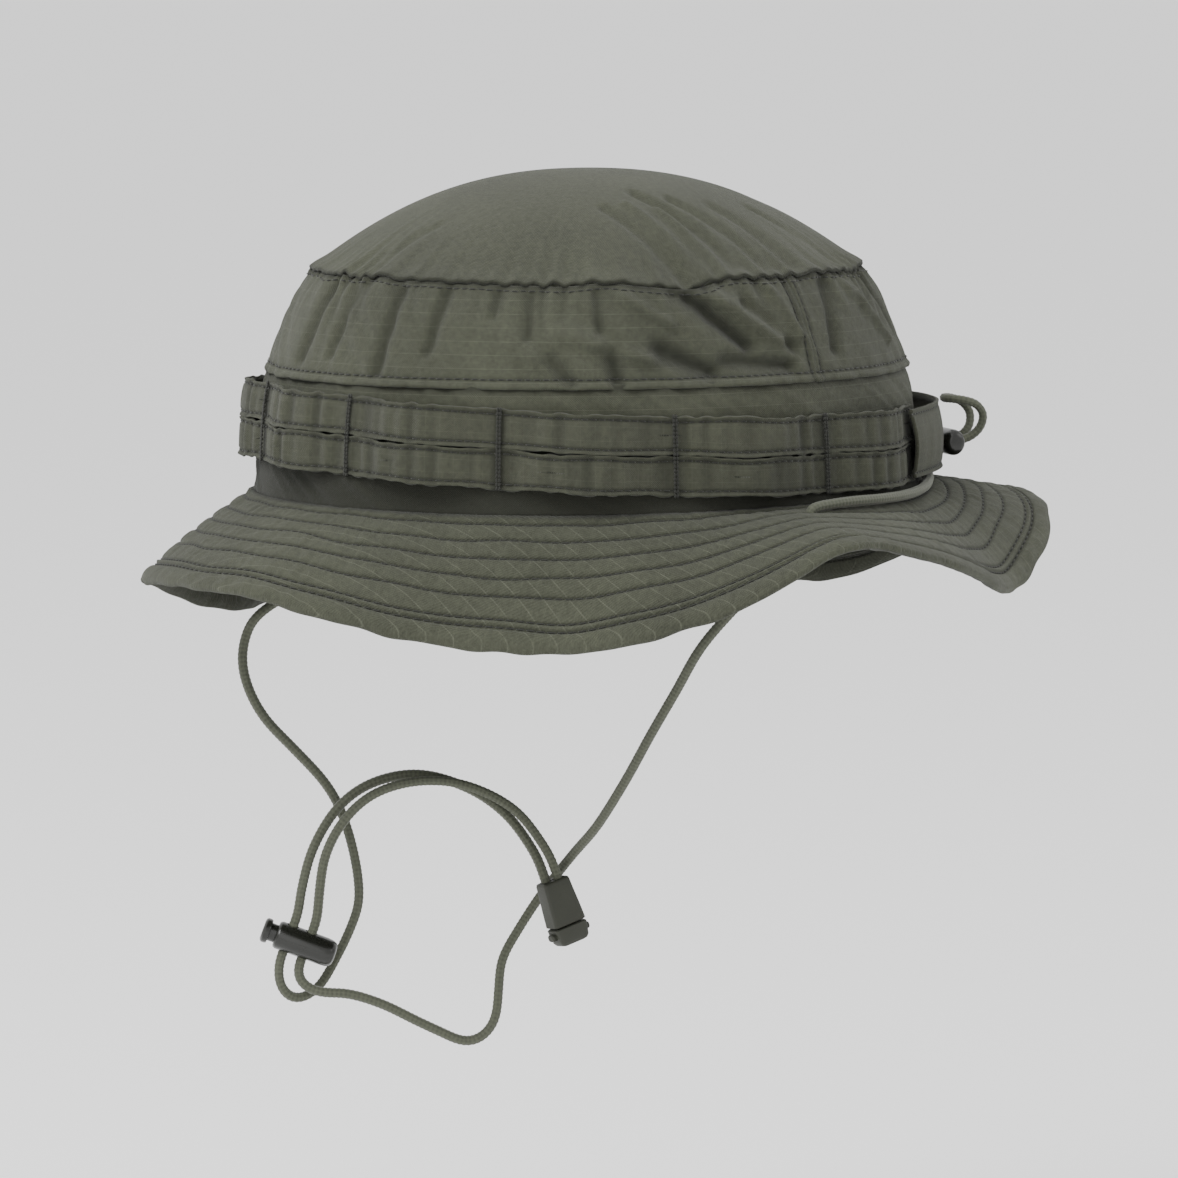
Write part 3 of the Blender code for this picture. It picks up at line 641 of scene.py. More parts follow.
PLUNGER_SECTIONS = [(-12.3, 2.8, 3.0), (-12.1, 3.4, 3.7), (-11.6, 3.8, 4.2), (-10.6, 3.8, 4.2),
                    (-10.1, 3.6, 3.9), (-9.95, 2.8, 2.8), (4.9, 2.8, 2.8), (5.2, 2.5, 2.5)]
BORE_RADIUS = 3.2
BORE_MIDDLE = -0.1         # it leaves the closed end whole
BORE_LENGTH = 20.0
PLUNGER_ROOM = 0.35        # round a cord, in the plunger's slot
PLUNGER_TRAVEL = 1.6
SLOT_REACH = 20.0


def moulded_lock(prefix, centre, length, cords, girth, cord_holes, cord_radius):
    body_sections, plunger_sections = [[(spot, a * girth, b * girth) for spot, a, b in sections]
                                       for sections in (LOCK_SECTIONS, PLUNGER_SECTIONS)]
    body = lofted(f"moulded_{prefix}_lock", centre, length, cords, body_sections, ROUND, dark_plastic)
    bore = rod(centre + length * BORE_MIDDLE, length, BORE_RADIUS * girth, BORE_LENGTH)
    holes = [rod(centre + length * spot, cords, cord_radius + HOLE_ROOM, HOLE_LENGTH) for spot in cord_holes]
    combined(body, [bore] + holes, "DIFFERENCE")
    plunger = lofted(f"moulded_{prefix}_plunger", centre, length, cords, plunger_sections, ROUND,
                     dark_plastic)
    room = cord_radius + PLUNGER_ROOM
    ends = (min(cord_holes) - PLUNGER_TRAVEL - room, max(cord_holes) + room)
    slot = lofted("cutter", centre, length, cords, [(end, SLOT_REACH, room) for end in ends], SQUARE)
    combined(plunger, [slot], "DIFFERENCE")
    return (settle(body, f"{prefix}_lock", f"{prefix}_lock_body"),
            settle(plunger, f"{prefix}_plunger", f"{prefix}_lock_plunger"))


chin_lock_pieces = moulded_lock("chin", *tilted_frame(CHIN_LOCK_CENTRE, CHIN_LOCK_TILT), CHIN_LOCK_GIRTH,
                                CHIN_CORD_HOLES, CORD_RADIUS)
rear_lock_pieces = moulded_lock("rear", Vector(REAR_LOCK_CENTRE), Vector((1, 0, 0)), Vector((0, 1, 0)),
                                REAR_LOCK_GIRTH, REAR_CORD_HOLES, DRAWCORD_RADIUS)

# %% [markdown]
# Both ends of the chin cord go into a small boxy end piece. A cap with a lug on each side snaps into it
# from below and hides the knots. It hangs a little turned, so two of its faces show.

# %% Cord end piece
END_CENTRE = (-8.1, 8.0, -127.7)
END_TILT = 18.0
END_TWIST = 28.0           # degrees, about its own length
END_HALF_LENGTH = 10.0
END_CORD_OFFSET = 1.9
END_HOLE_LENGTH = 9.0
END_SECTIONS = [(-3.9, 5.0, 3.5), (-3.6, 5.4, 3.8), (1.0, 5.1, 3.7), (6.0, 4.7, 3.5), (9.2, 4.5, 3.4),
                (9.8, 4.3, 3.2), (10.0, 4.0, 2.9)]
POCKET_SECTIONS = [(-5.0, 3.7, 2.3), (0.8, 3.7, 2.3)]
CAP_SECTIONS = [(-10.0, 3.4, 2.2), (-9.7, 4.3, 2.9), (-8.8, 4.9, 3.4), (-6.0, 5.3, 3.7), (-4.6, 5.4, 3.8),
                (-4.3, 5.0, 3.5), (-4.29, 3.3, 1.9), (-1.3, 3.3, 1.9), (-1.1, 3.0, 1.7)]
LUG_SECTIONS = [(4.6, 1.0, 1.7), (6.2, 1.1, 1.8), (6.6, 0.8, 1.4)]
LUG_HEIGHT = -6.6

end_centre, end_across, end_up = tilted_frame(END_CENTRE, -END_TILT)
end_side = end_across.copy()
end_side.rotate(Quaternion(end_up, math.radians(END_TWIST)))
end_body = lofted("moulded_cord_end", end_centre, end_up, end_side, END_SECTIONS, BOXY, olive_plastic)
cuts = [lofted("cutter", end_centre, end_up, end_side, POCKET_SECTIONS, POCKET)]
for side in (-END_CORD_OFFSET, END_CORD_OFFSET):
    cuts.append(rod(end_centre + end_across * side + end_up * END_HALF_LENGTH, end_up,
                    CORD_RADIUS + HOLE_ROOM, END_HOLE_LENGTH))
combined(end_body, cuts, "DIFFERENCE")
end_cap = lofted("moulded_cord_end_cap", end_centre, end_up, end_side, CAP_SECTIONS, BOXY, olive_plastic)
lugs = [lofted("lug", end_centre + end_up * LUG_HEIGHT, end_side * side, end_up, LUG_SECTIONS, PILLOW)
        for side in (-1, 1)]
combined(end_cap, lugs, "UNION")
end_pieces = (settle(end_body, "hat", "cord_end_body"),
              settle(end_cap, "end_cap", "cord_end_cap"))

# %% [markdown]
# A cord follows a smooth curve through a few given points. Blender's own curves would give
# one; here it is read at even steps, so that its length is known, and its tightest turns are
# eased, because a real cord is too stiff for them.

# %% Smooth routes
CORD_STEP = 0.42           # between the tube's rings
SPAN_STEPS = 24            # between two points of a route
TURN_SOFTNESS = 3.4        # length of cord over which a turn is rounded
LOOP_SOFTNESS = 0.8        # the small loop at the back is round already
EASE_REACH = 2.5           # softnesses on each side that count


def eased(path, step, softness):
    """Rounds the tightest turns, as a cord's own stiffness does, and keeps both ends."""
    span = round(EASE_REACH * softness / step)
    weights = near(np.arange(-span, span + 1) * step, softness)
    before = 2 * path[0] - path[span:0:-1]
    after = 2 * path[-1] - path[-2:-span - 2:-1]
    padded = np.concatenate([before, path, after])
    return np.stack([np.convolve(line, weights / weights.sum(), "valid") for line in padded.T], -1)


def smooth_route(points, step, softness):
    """A smooth curve through a route, read at even steps, and its length."""
    route = [Vector(point) for point in points]
    ends = [route[0] * 2 - route[1]] + route + [route[-1] * 2 - route[-2]]
    fine = [np.array(route[0])]
    for before, start, end, after in zip(ends, ends[1:], ends[2:], ends[3:]):
        for piece in range(1, SPAN_STEPS + 1):
            t = piece / SPAN_STEPS
            fine.append(np.array(0.5 * (2 * start + (end - before) * t
                                        + (2 * before - 5 * start + 4 * end - after) * t * t
                                        + (3 * start - 3 * end + after - before) * t ** 3)))
    fine = np.array(fine)
    run = np.concatenate([[0.0], np.cumsum(np.linalg.norm(np.diff(fine, axis=0), axis=1))])
    marks = np.linspace(0.0, run[-1], round(run[-1] / step))
    path = eased(np.stack([np.interp(marks, run, line) for line in fine.T], -1), step, softness)
    return path, np.linalg.norm(np.diff(path, axis=0), axis=1).sum()


# %% [markdown]
# The cord is braided. A curve with a bevel makes a plain tube, and a bump can't change its outline,
# so the braid is in the mesh: the tube's radius rises and falls along two sets of spirals that cross.

# %% Braided tube
CORD_SIDES = 24
BRAID_STRANDS = 8          # spirals each way
BRAID_TURN = 1.15          # radians turned in a millimetre
BRAID_DEPTH = 0.1
SIDE_START = (0.3, 0.2, 0.9)   # no cord starts along this direction
PATH_STEP = 6              # rings from one point of the returned path to the next


def tube_sides(path):
    """Two directions across the path at each point, carried along it without twisting."""
    tangents = np.gradient(path, axis=0)
    tangents /= np.linalg.norm(tangents, axis=1, keepdims=True)
    side = np.cross(tangents[0], SIDE_START)
    sides = []
    for tangent in tangents:
        side = side - tangent * side.dot(tangent)
        side = side / np.linalg.norm(side)
        sides.append(side)
    return np.array(sides), np.cross(tangents, sides)


def braided_tube(name, route, radius, softness):
    path, length = smooth_route(route, CORD_STEP, softness)
    rows = len(path)
    sides, others = tube_sides(path)
    spin = np.arange(CORD_SIDES) / CORD_SIDES * 2 * math.pi
    along = np.linspace(0.0, length, rows)[:, None]
    run = along * BRAID_TURN * BRAID_STRANDS / 4
    braid = np.cos(spin * BRAID_STRANDS / 2 + run) * np.cos(spin * BRAID_STRANDS / 2 - run)
    size = radius * (1.0 - BRAID_DEPTH / 2 + BRAID_DEPTH * braid)
    points = path[:, None] + sides[:, None] * (np.cos(spin) * size)[..., None] \
        + others[:, None] * (np.sin(spin) * size)[..., None]
    ring = np.arange(CORD_SIDES)
    following = (ring + 1) % CORD_SIDES
    last = (rows - 1) * CORD_SIDES
    tips = np.full(CORD_SIDES, rows * CORD_SIDES)
    faces = grid_faces(rows, CORD_SIDES, True).tolist()
    faces += np.stack([following, ring, tips], -1).tolist()
    faces += np.stack([ring + last, following + last, tips + 1], -1).tolist()
    flat = np.stack(np.broadcast_arrays(spin * radius, along), -1)
    # The last value below is painted shade, darkest between the yarns.
    piece = make_mesh(name, np.concatenate([points.reshape(-1, 3), path[:1], path[-1:]]), faces,
                      np.concatenate([flat.reshape(-1, 2), np.zeros((2, 2))]), cord_finish,
                      np.append((0.5 - 0.5 * braid).ravel(), [0.0, 0.0]))
    return piece, path[::PATH_STEP] * MM, length * MM


def lay_cord(name, route, radius, softness=TURN_SOFTNESS):
    """A finished cord, which stands for the solid of the same name."""
    piece, path, length = braided_tube(name, route, radius, softness)
    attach(piece, "hat")
    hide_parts(name.replace("braided_", ""))
    print(name, "length", round(length / MM), "mm")


# %% [markdown]
# The chin cord is one cord. It lies on the brim round the back, goes down through a hole on each side
# and hangs; both strands pass through the sliding lock, turn back, arch over and end together in the
# end piece. It could be dropped by a simulation, but only listed points follow the photograph.

# %% Chin cord
CORD_HOLE_ANGLE = 109.0
CORD_HOLE_OUT = 8.0        # from the crown seam
HOLE_START = 0.3           # where the strands meet, from the brim's middle
STRAIGHT_DOWN = 5.0
STRAIGHT_UP = 2.2
LOCK_STRAIGHT = 8.6        # on each side of the lock
END_CORD_RISE = 2.5
END_CORD_DEPTH = 4.0
# Hanging routes: across the picture, towards the camera and up, down to the lock and on from it.
RIGHT_ROUTE = [(56.0, 66.0, -14.0), (45.0, 60.0, -26.0), (33.0, 55.0, -40.5), (25.5, 47.0, -55.0),
               (18.0, 39.0, -69.5), (11.0, 30.0, -84.0), (2.5, 17.0, -100.0), (-5.0, 5.0, -111.0),
               (-14.5, -5.0, -125.0), (-21.5, -6.0, -136.0), (-26.5, -4.0, -145.0),
               (-27.5, -2.0, -154.0), (-28.5, 0.0, -162.5), (-32.5, 0.0, -168.0), (-38.0, 0.0, -169.5),
               (-45.0, 0.0, -166.5), (-52.5, 0.0, -163.0), (-62.5, 0.0, -158.0), (-73.0, 0.8, -154.5),
               (-81.0, 1.6, -154.0), (-86.5, 0.8, -152.0)]
LEFT_ROUTE = [(-4.0, -92.0, -13.0), (-24.0, -76.0, -22.0), (-52.0, -46.0, -28.0),
              (-76.0, -18.0, -31.0), (-90.0, -3.0, -33.0), (-99.0, 2.0, -38.0), (-103.0, 0.0, -44.0),
              (-104.5, 0.0, -52.5), (-102.5, 0.0, -61.5), (-97.5, 0.0, -70.5), (-89.0, -2.0, -80.0),
              (-80.5, -5.0, -90.0), (-75.5, -8.0, -99.5), (-71.5, -8.0, -113.0), (-70.0, -8.0, -126.5),
              (-72.5, -8.5, -135.5), (-77.0, -8.5, -145.0), (-82.5, -6.5, -154.0),
              (-89.0, -3.2, -157.0), (-93.5, -0.8, -153.0)]
LEFT_TAIL = [(-87.2, 0.0, -123.0), (-83.4, 0.8, -109.5), (-75.6, 0.0, -97.0), (-65.0, 0.0, -89.6),
             (-51.0, 0.0, -87.2), (-36.2, 1.0, -91.4), (-24.8, 2.6, -99.2), (-16.6, 5.6, -110.0)]
RIGHT_TAIL = [(-81.8, 0.4, -124.5), (-79.6, 2.8, -111.4), (-73.4, 4.0, -100.0), (-64.2, 4.2, -92.2),
              (-51.0, 4.2, -88.6), (-36.8, 5.0, -89.8), (-22.4, 6.0, -97.0), (-13.0, 7.6, -108.8)]
# Round the back: angle, distance out from the wall and height.
BACK_ROUTE = [(117, 7.5, 2.0), (126, 6.8, 1.6), (135, 6.0, 1.4), (144, 5.0, 1.8), (152, 3.8, 2.4),
              (160, 3.2, 3.2), (167, 2.8, 7.5), (174, 2.8, 12.0), (180, 2.8, 13.2), (186, 2.8, 12.0),
              (193, 2.8, 7.5), (200, 3.2, 2.8), (208, 4.4, 0.8), (216, 5.6, -0.8), (225, 6.4, -1.4),
              (234, 7.2, -1.8), (243, 7.8, -2.0)]


def brim_hole(side):
    """Centre of a cord hole in the brim, and the brim's upward direction there."""
    angle = np.array([[-1.0, 0.0, 1.0]] * 3) + side * CORD_HOLE_ANGLE
    distance = np.array([[1.0] * 3, [0.0] * 3, [-1.0] * 3]) + CORD_HOLE_OUT
    points = brim(angle, distance)
    return Vector(points[1, 1]), Vector(grid_normals(points, False)[1, 1])


def tilted_place(centre, degrees, along, up):
    """A point on a lock or end piece that is tilted in the hanging plane."""
    middle, length_way, cord_way = tilted_frame(centre, degrees)
    return middle + length_way * along + cord_way * up


def hanging_route(side, route, tail, lock_spot, end_spot):
    centre, normal = brim_hole(side)
    points = [centre - normal * down for down in (HOLE_START, STRAIGHT_DOWN)]
    points += [hang(*point) for point in route]
    points += [tilted_place(CHIN_LOCK_CENTRE, CHIN_LOCK_TILT, lock_spot, up)
               for up in (-LOCK_STRAIGHT, 0.0, LOCK_STRAIGHT)]
    points += [hang(*point) for point in tail]
    points += [tilted_place(END_CENTRE, -END_TILT, end_spot, END_HALF_LENGTH + up)
               for up in (END_CORD_RISE, -END_CORD_DEPTH)]
    return points


def back_route():
    left, left_up = brim_hole(1)
    right, right_up = brim_hole(-1)
    points = [left + left_up * up for up in (HOLE_START, STRAIGHT_UP)]
    for angle, out, height in BACK_ROUTE:
        base = wall(np.array(float(angle)), np.array(max(height, 0.0)), out)
        points.append(Vector((base[0], base[1], height)))
    return points + [right + right_up * up for up in (STRAIGHT_UP, HOLE_START)]


lay_cord("braided_chin_cord_left", hanging_route(-1, LEFT_ROUTE, LEFT_TAIL, CHIN_CORD_HOLES[0],
                                                 -END_CORD_OFFSET),
         CORD_RADIUS)
lay_cord("braided_chin_cord_right", hanging_route(1, RIGHT_ROUTE, RIGHT_TAIL, CHIN_CORD_HOLES[1],
                                                  END_CORD_OFFSET),
         CORD_RADIUS)
lay_cord("braided_chin_cord_back", back_route(), CORD_RADIUS)

# %% [markdown]
# A thinner cord comes out of the band at the back, through the rear lock, and loops back in. Its two
# halves are mirror images, so only one is listed.

# %% Rear drawcord
DRAWCORD_ROUTE = [(-3.0, 106.2, 10.5), (-3.0, 110.5, 10.5), (-3.0, 115.7, 10.5), (-3.0, 119.5, 10.6),
                  (-3.2, 123.4, 11.6), (-4.0, 126.4, 14.4), (-5.0, 127.0, 18.4), (-5.4, 124.6, 21.6),
                  (-5.0, 120.8, 23.0), (-3.4, 117.8, 23.4), (0.0, 116.4, 23.4)]

lay_cord("braided_rear_drawcord", DRAWCORD_ROUTE + [(-x, y, z) for x, y, z in DRAWCORD_ROUTE[-2::-1]],
         DRAWCORD_RADIUS, LOOP_SOFTNESS)

# %% [markdown]
# Cloth has two faces and a thickness. The Solidify modifier could give it one; doing it on the grid
# itself keeps the flat map and the grooves in step on both faces and closes every edge.


# %% Shells of cloth
def cloth_shell(name, points, closed, thickness, cloth_map, finish, painted_shade=None):
    """A sheet of cloth with an inner face and closed edges; its painted shade is 1 in its stitched grooves.
    """
    rows, columns = points.shape[:2]
    inner = points - grid_normals(points, closed) * thickness
    count = rows * columns
    edge = np.arange(columns if closed else columns - 1)
    following = (edge + 1) % columns
    last = (rows - 1) * columns
    quads = [grid_faces(rows, columns, closed), grid_faces(rows, columns, closed, count, True),
             np.stack([edge, edge + count, following + count, following], -1),
             np.stack([edge, following, following + count, edge + count], -1) + last]
    if not closed:
        side = np.arange(rows - 1) * columns
        over = side + columns
        quads.append(np.stack([side, over, over + count, side + count], -1))
        quads.append(np.stack([side, side + count, over + count, over], -1) + columns - 1)
    every = np.concatenate([points.reshape(-1, 3), inner.reshape(-1, 3)])
    flat = np.tile(cloth_map.reshape(-1, 2), (2, 1))
    if painted_shade is not None:
        painted_shade = np.tile(painted_shade.ravel(), 2)
    return make_mesh(name, every, np.concatenate(quads).tolist(), flat, finish, painted_shade)


def one_face_area(piece):
    return sum(face.area for face in piece.data.polygons) / 2


def sew(piece, nodes):
    """Says what a finished piece of cloth stands for and prints how large it was cut, in square centimetres.
    """
    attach(piece, "hat")
    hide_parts(*nodes)
    print(piece.name, len(piece.data.polygons), "faces,", round(one_face_area(piece) * 1e4), "cm2")


def full_turn(columns):
    return np.linspace(-180, 180, columns, endpoint=False)


# %% [markdown]
# The crown is soft and has been worn: it is creased all over, deepest on the side where the cloth has
# been pushed in. Sculpting would do, but can't be read later. Each fold is a short line on the cloth
# with a width and a depth, and the cloth moves in or out near it.

# %% Folds
FOLD_DEPTH = 2.2           # of a fold whose depth is 1
FOLD_START = 1.15          # of its width, at its first end
FOLD_TAPER = 0.4           # lost by the other end
# Folds of the side: angle and height at both ends, width and depth.
SIDE_FOLDS = [(90, 65, 103, 47, 2.6, -2.0), (95, 64, 110, 49, 3.0, 1.5), (77, 46, 78, 38, 2.6, -1.2),
              (86, 46, 95, 40, 3.0, -1.5), (98, 43, 111, 41, 2.4, -1.2), (34, 66, 33, 40, 2.2, -1.0),
              (62, 66, 62, 50, 1.6, -0.9), (74, 66, 75, 52, 1.6, -0.9), (55, 66, 55, 56, 1.5, -0.8),
              (12, 66, 10, 42, 2.8, -0.9), (22, 66, 20, 44, 2.0, -0.7), (45, 66, 43, 46, 2.0, -0.8),
              (68, 52, 84, 44, 2.6, 0.9), (80, 62, 88, 54, 2.0, 0.8), (66, 44, 70, 38, 2.2, -0.9),
              (104, 58, 113, 46, 2.2, -1.0), (50, 56, 64, 44, 4.0, 0.6), (111, 64, 115, 50, 2.0, 0.8),
              (-18, 64, -24, 42, 3.2, -0.9), (-52, 66, -50, 45, 2.6, -0.9), (-80, 62, -95, 45, 2.8, -1.4),
              (-108, 64, -104, 44, 2.6, -1.0), (-35, 66, -37, 48, 2.0, -0.8), (-68, 66, -66, 50, 2.2, 0.8),
              (128, 64, 124, 45, 2.8, -1.1), (136, 62, 146, 46, 2.6, 0.9), (150, 66, 156, 48, 3.0, -1.1),
              (184, 64, 180, 42, 3.2, -0.9), (198, 60, 206, 46, 2.6, 0.8), (212, 66, 208, 46, 2.6, -1.0),
              (168, 66, 166, 50, 2.0, -0.8), (230, 64, 236, 46, 2.4, -0.9)]
# Folds of the top: angle and share of the way out at both ends, width and depth.
TOP_FOLDS = [(93, 0.98, 78, 0.62, 2.0, -0.7), (97, 0.97, 86, 0.6, 2.0, 0.6), (106, 0.94, 92, 0.5, 2.2, -0.8),
             (114, 0.95, 104, 0.56, 2.0, -0.7), (122, 0.95, 118, 0.62, 2.4, -0.6),
             (101, 0.95, 96, 0.64, 1.8, 0.6), (-60, 0.95, -75, 0.6, 2.8, -0.6),
             (-110, 0.95, -100, 0.55, 2.8, -0.6), (175, 0.95, 160, 0.5, 2.8, -0.6),
             (20, 0.98, 28, 0.75, 2.2, -0.4), (140, 0.95, 136, 0.65, 2.4, -0.6),
             (-30, 0.97, -26, 0.7, 2.2, -0.4)]


def folds(rows, across, up, place):
    """How far the cloth is pushed in or out; place turns an end of a fold into a point of the flat map."""
    total = np.zeros_like(across)
    for start_a, start_b, end_a, end_b, width, depth in rows:
        start = np.array(place(start_a, start_b))
        line = np.array(place(end_a, end_b)) - start
        share = np.clip(((across - start[0]) * line[0] + (up - start[1]) * line[1]) / line.dot(line), 0, 1)
        gap = np.hypot(across - start[0] - share * line[0], up - start[1] - share * line[1])
        total += near(gap, width * (FOLD_START - FOLD_TAPER * share), FOLD_DEPTH * depth)
    return total


print("folds:", len(SIDE_FOLDS), "in the side and", len(TOP_FOLDS), "in the top")

# %% [markdown]
# The crown's side is a long front panel and a shorter rear one, joined by two upright seams with a row
# of stitches on either side. It is gathered into the top seam, which sags, and turned over the band
# in a rolled welt. All of that is a distance out from the plain wall.

# %% Crown side
CROWN_CLOTH = 1.2
WELT_HEIGHT = 37.0
SIDE_SEAM_ANGLE = 117.0
SIDE_SEAM_HALF = 1.8       # from the seam to each of its two rows
SIDE_ROWS = 70
SIDE_TUCK = 0.3            # under the top's edge
WELT_OVERLAP = 0.9         # over the band
WELT_STITCH = 1.9          # above the welt
# Sags of the top seam: angle, width and depth.
SEAM_SAGS = [(92, 8.0, -2.6), (62, 22.0, -1.4)]
# Ripples: size, fewest and most waves, seed.
SEAM_WANDER = [(0.5, 9, 34, 3)]
SEAM_GATHERS = [(1.0, 46, 120, 11)]
PANEL_CREASES = [(0.35, 18, 60, 14)]
PANEL_SWELL = [(0.4, 5, 14, 13)]
WELT_PUCKERS = [(0.4, 30, 90, 12)]
CREASE_SLANT = 0.7         # degrees of turn for each millimetre of height
GATHER_SIZE = 0.9
GATHER_FADE = 8.0
PUCKER_FADE = 7.0
FOLD_STOP = 2.0            # folds end this close to the top seam
# Width and size of what stands out or draws in at a seam.
TOP_PINCH = (1.2, -0.6)
WELT_ROLL = (1.0, 0.75)
SEAM_SWELL = (SIDE_SEAM_HALF, 0.5)
SEAM_GROOVE = (0.6, -0.5)
# Width and strength of the shade in each groove, and the shade of gathers and folds.
TOP_SHADE = (1.0, 0.9)
WELT_SHADE = (0.6, 0.5)
SEAM_SHADE = (0.6, 0.7)
GATHER_SHADE = 0.6
CREASE_SHADE = 0.3


def seam_dip(angle):
    """The top seam sags between the front and the side, most at the deep fold."""
    return sum(near(angle - place, width, depth) for place, width, depth in SEAM_SAGS) \
        + rippled(SEAM_WANDER, angle)


def side_top(angle):
    return TOP_SEAM_HEIGHT - SIDE_TUCK + seam_dip(angle)


def side_form(angle, height):
    """How far the side stands out from the plain wall, and how much shade is painted at each point."""
    angle = signed(angle)
    below_top = side_top(angle) - height
    above_welt = height - WELT_HEIGHT
    from_seam = np.abs(np.abs(angle) - SIDE_SEAM_ANGLE) * MM_PER_DEGREE
    from_row = from_seam - SIDE_SEAM_HALF
    creases = folds(SIDE_FOLDS, angle * MM_PER_DEGREE, height, lambda a, b: (signed(a) * MM_PER_DEGREE, b))
    creases = creases * (1.0 - near(below_top, FOLD_STOP))
    gathers = rippled(SEAM_GATHERS, angle) * np.exp(-below_top / GATHER_FADE)
    out = creases + rippled(PANEL_CREASES, angle + height * CREASE_SLANT) + rippled(PANEL_SWELL, angle)
    out += GATHER_SIZE * gathers + near(below_top, *TOP_PINCH) + near(above_welt, *WELT_ROLL)
    out += rippled(WELT_PUCKERS, angle) * np.exp(-above_welt / PUCKER_FADE)
    out += near(from_seam, *SEAM_SWELL) + near(from_row, *SEAM_GROOVE)
    painted_shade = near(below_top, *TOP_SHADE) + near(above_welt - WELT_STITCH, *WELT_SHADE)
    painted_shade += near(from_row, *SEAM_SHADE)
    painted_shade += GATHER_SHADE * np.maximum(-gathers, 0.0) + CREASE_SHADE * np.maximum(-creases, 0.0)
    return out, np.clip(painted_shade, 0.0, 1.0)


def crown_side(name, node, start, stop, columns):
    angle, share = np.meshgrid(np.linspace(start, stop, columns), np.linspace(0.0, 1.0, SIDE_ROWS))
    low = WELT_HEIGHT - WELT_OVERLAP
    height = low + (side_top(signed(angle)) - low) * share
    out, painted_shade = side_form(angle, height)
    piece = cloth_shell(name, wall(angle, height, out), False, CROWN_CLOTH,
                        np.stack([signed(angle) * MM_PER_DEGREE, height], -1), cloth_finish, painted_shade)
    sew(piece, [node])


crown_side("sewn_front_panel", "crown_front_panel", -SIDE_SEAM_ANGLE, SIDE_SEAM_ANGLE, 360)
crown_side("sewn_rear_panel", "crown_rear_panel", SIDE_SEAM_ANGLE, 360 - SIDE_SEAM_ANGLE, 200)

# %% [markdown]
# The top is one oval panel. A squashed sphere would be too full at its middle, so its height follows a
# power of the distance from the middle. Its edge is turned under, stands out over the side as a lip
# and shares the side's gathers, because both are sewn in one seam.

# %% Crown top
TOP_COLUMNS = 480
DOME_RISE = 29.0
DOME_POWER = 2.3
# Rings from the edge to the middle, as shares of the way out: first, last and how many.
EDGE_RINGS = (1.0, 0.85, 24)
INNER_RINGS = (0.845, 0.004, 60)
SEAM_LIP = 0.7
LIP_WIDTH = 3.0
EDGE_ROLL = (2.5, 0.5)
EDGE_PINCH = (2.0, 0.4)
EDGE_SHADE = (0.5, 0.8)
TOP_GATHER_FADE = 7.0
DIP_FADE = 10.0
TURN_DOWN = 0.9            # of the turned-under edge
TURN_IN = 0.994            # its size, as a share

HALF_TOP_WIDTH = HALF_WIDTH * TOP_SHARE
HALF_TOP_LENGTH = HALF_LENGTH * TOP_SHARE


def oval_place(degrees, ring):
    around = np.radians(degrees)
    return HALF_TOP_WIDTH * ring * np.sin(around), -HALF_TOP_LENGTH * ring * np.cos(around)


def dome_points(angle, ring):
    flat_x, flat_y = oval_place(angle, ring)
    from_edge = (1.0 - ring) * HALF_TOP_WIDTH
    gathers = GATHER_SIZE * rippled(SEAM_GATHERS, angle) * np.exp(-from_edge / TOP_GATHER_FADE)
    lift = folds(TOP_FOLDS, flat_x, flat_y, oval_place)
    lift += gathers * (1.0 - near(from_edge, *EDGE_PINCH)) + near(from_edge, *EDGE_ROLL)
    reach = 1.0 + near(from_edge, LIP_WIDTH, SEAM_LIP / HALF_TOP_WIDTH)
    height = TOP_SEAM_HEIGHT + DOME_RISE * (1.0 - ring ** DOME_POWER) + lift
    height = height + seam_dip(angle) * np.exp(-from_edge / DIP_FADE)
    return np.stack([flat_x * reach, flat_y * reach - FRONT_LEAN, height], -1)


def crown_top():
    rings = np.concatenate([np.linspace(*EDGE_RINGS), np.linspace(*INNER_RINGS)])
    angle, ring = np.meshgrid(full_turn(TOP_COLUMNS), rings)
    points = dome_points(angle, ring)
    edge = points[:1] - np.array([0.0, 0.0, TURN_DOWN])
    edge[..., :2] *= TURN_IN
    points = np.concatenate([edge, points])
    from_edge = (1.0 - np.concatenate([ring[:1], ring])) * HALF_TOP_WIDTH
    piece = cloth_shell("sewn_crown_top", points, True, CROWN_CLOTH, points[..., :2], top_finish,
                        near(from_edge, *EDGE_SHADE))
    cap = bmesh.new()
    cap.from_mesh(piece.data)
    bmesh.ops.holes_fill(cap, edges=[line for line in cap.edges if line.is_boundary], sides=0)
    cap.to_mesh(piece.data)
    cap.free()
    sew(piece, ["crown_top"])


crown_top()

# %% [markdown]
# The hat band is the lower wall of the crown, and the sweatband lines it inside. Both are plain rings
# of cloth. Little light reaches the band behind the tapes, and a render's soft light is kinder than
# that, so the band's shade value darkens it there.

# %% Band and sweatband
BAND_COLUMNS = 360
BAND_ROWS = 46
BAND_LOW = -2.2            # it runs down between the brim's plies
BAND_TUCK = 0.6            # up behind the welt
BAND_SWELL = [(0.25, 6, 24, 21)]
BAND_CREASES = [(0.3, 30, 90, 22)]
BAND_PINCH = (3.0, -0.5)   # at the welt
BAND_RIDGE = (1.2, 0.35)   # over the brim's turned edge
RIDGE_HEIGHT = 1.6
BAND_SHADE = (1.6, 0.9)    # at the welt
BEHIND_TAPES = 1.4         # shade below the tapes' upper part
SHADE_RISE = 8.0           # above the tapes' middle
SHADE_FADE = 1.2
SWEATBAND_COLUMNS = 240
SWEATBAND_ROWS = 24
SWEATBAND_LOW = 1.8
SWEATBAND_HIGH = 30.0
SWEATBAND_CLOTH = 0.9
SWEATBAND_INSET = 1.8
SWEATBAND_SWELL = 0.25
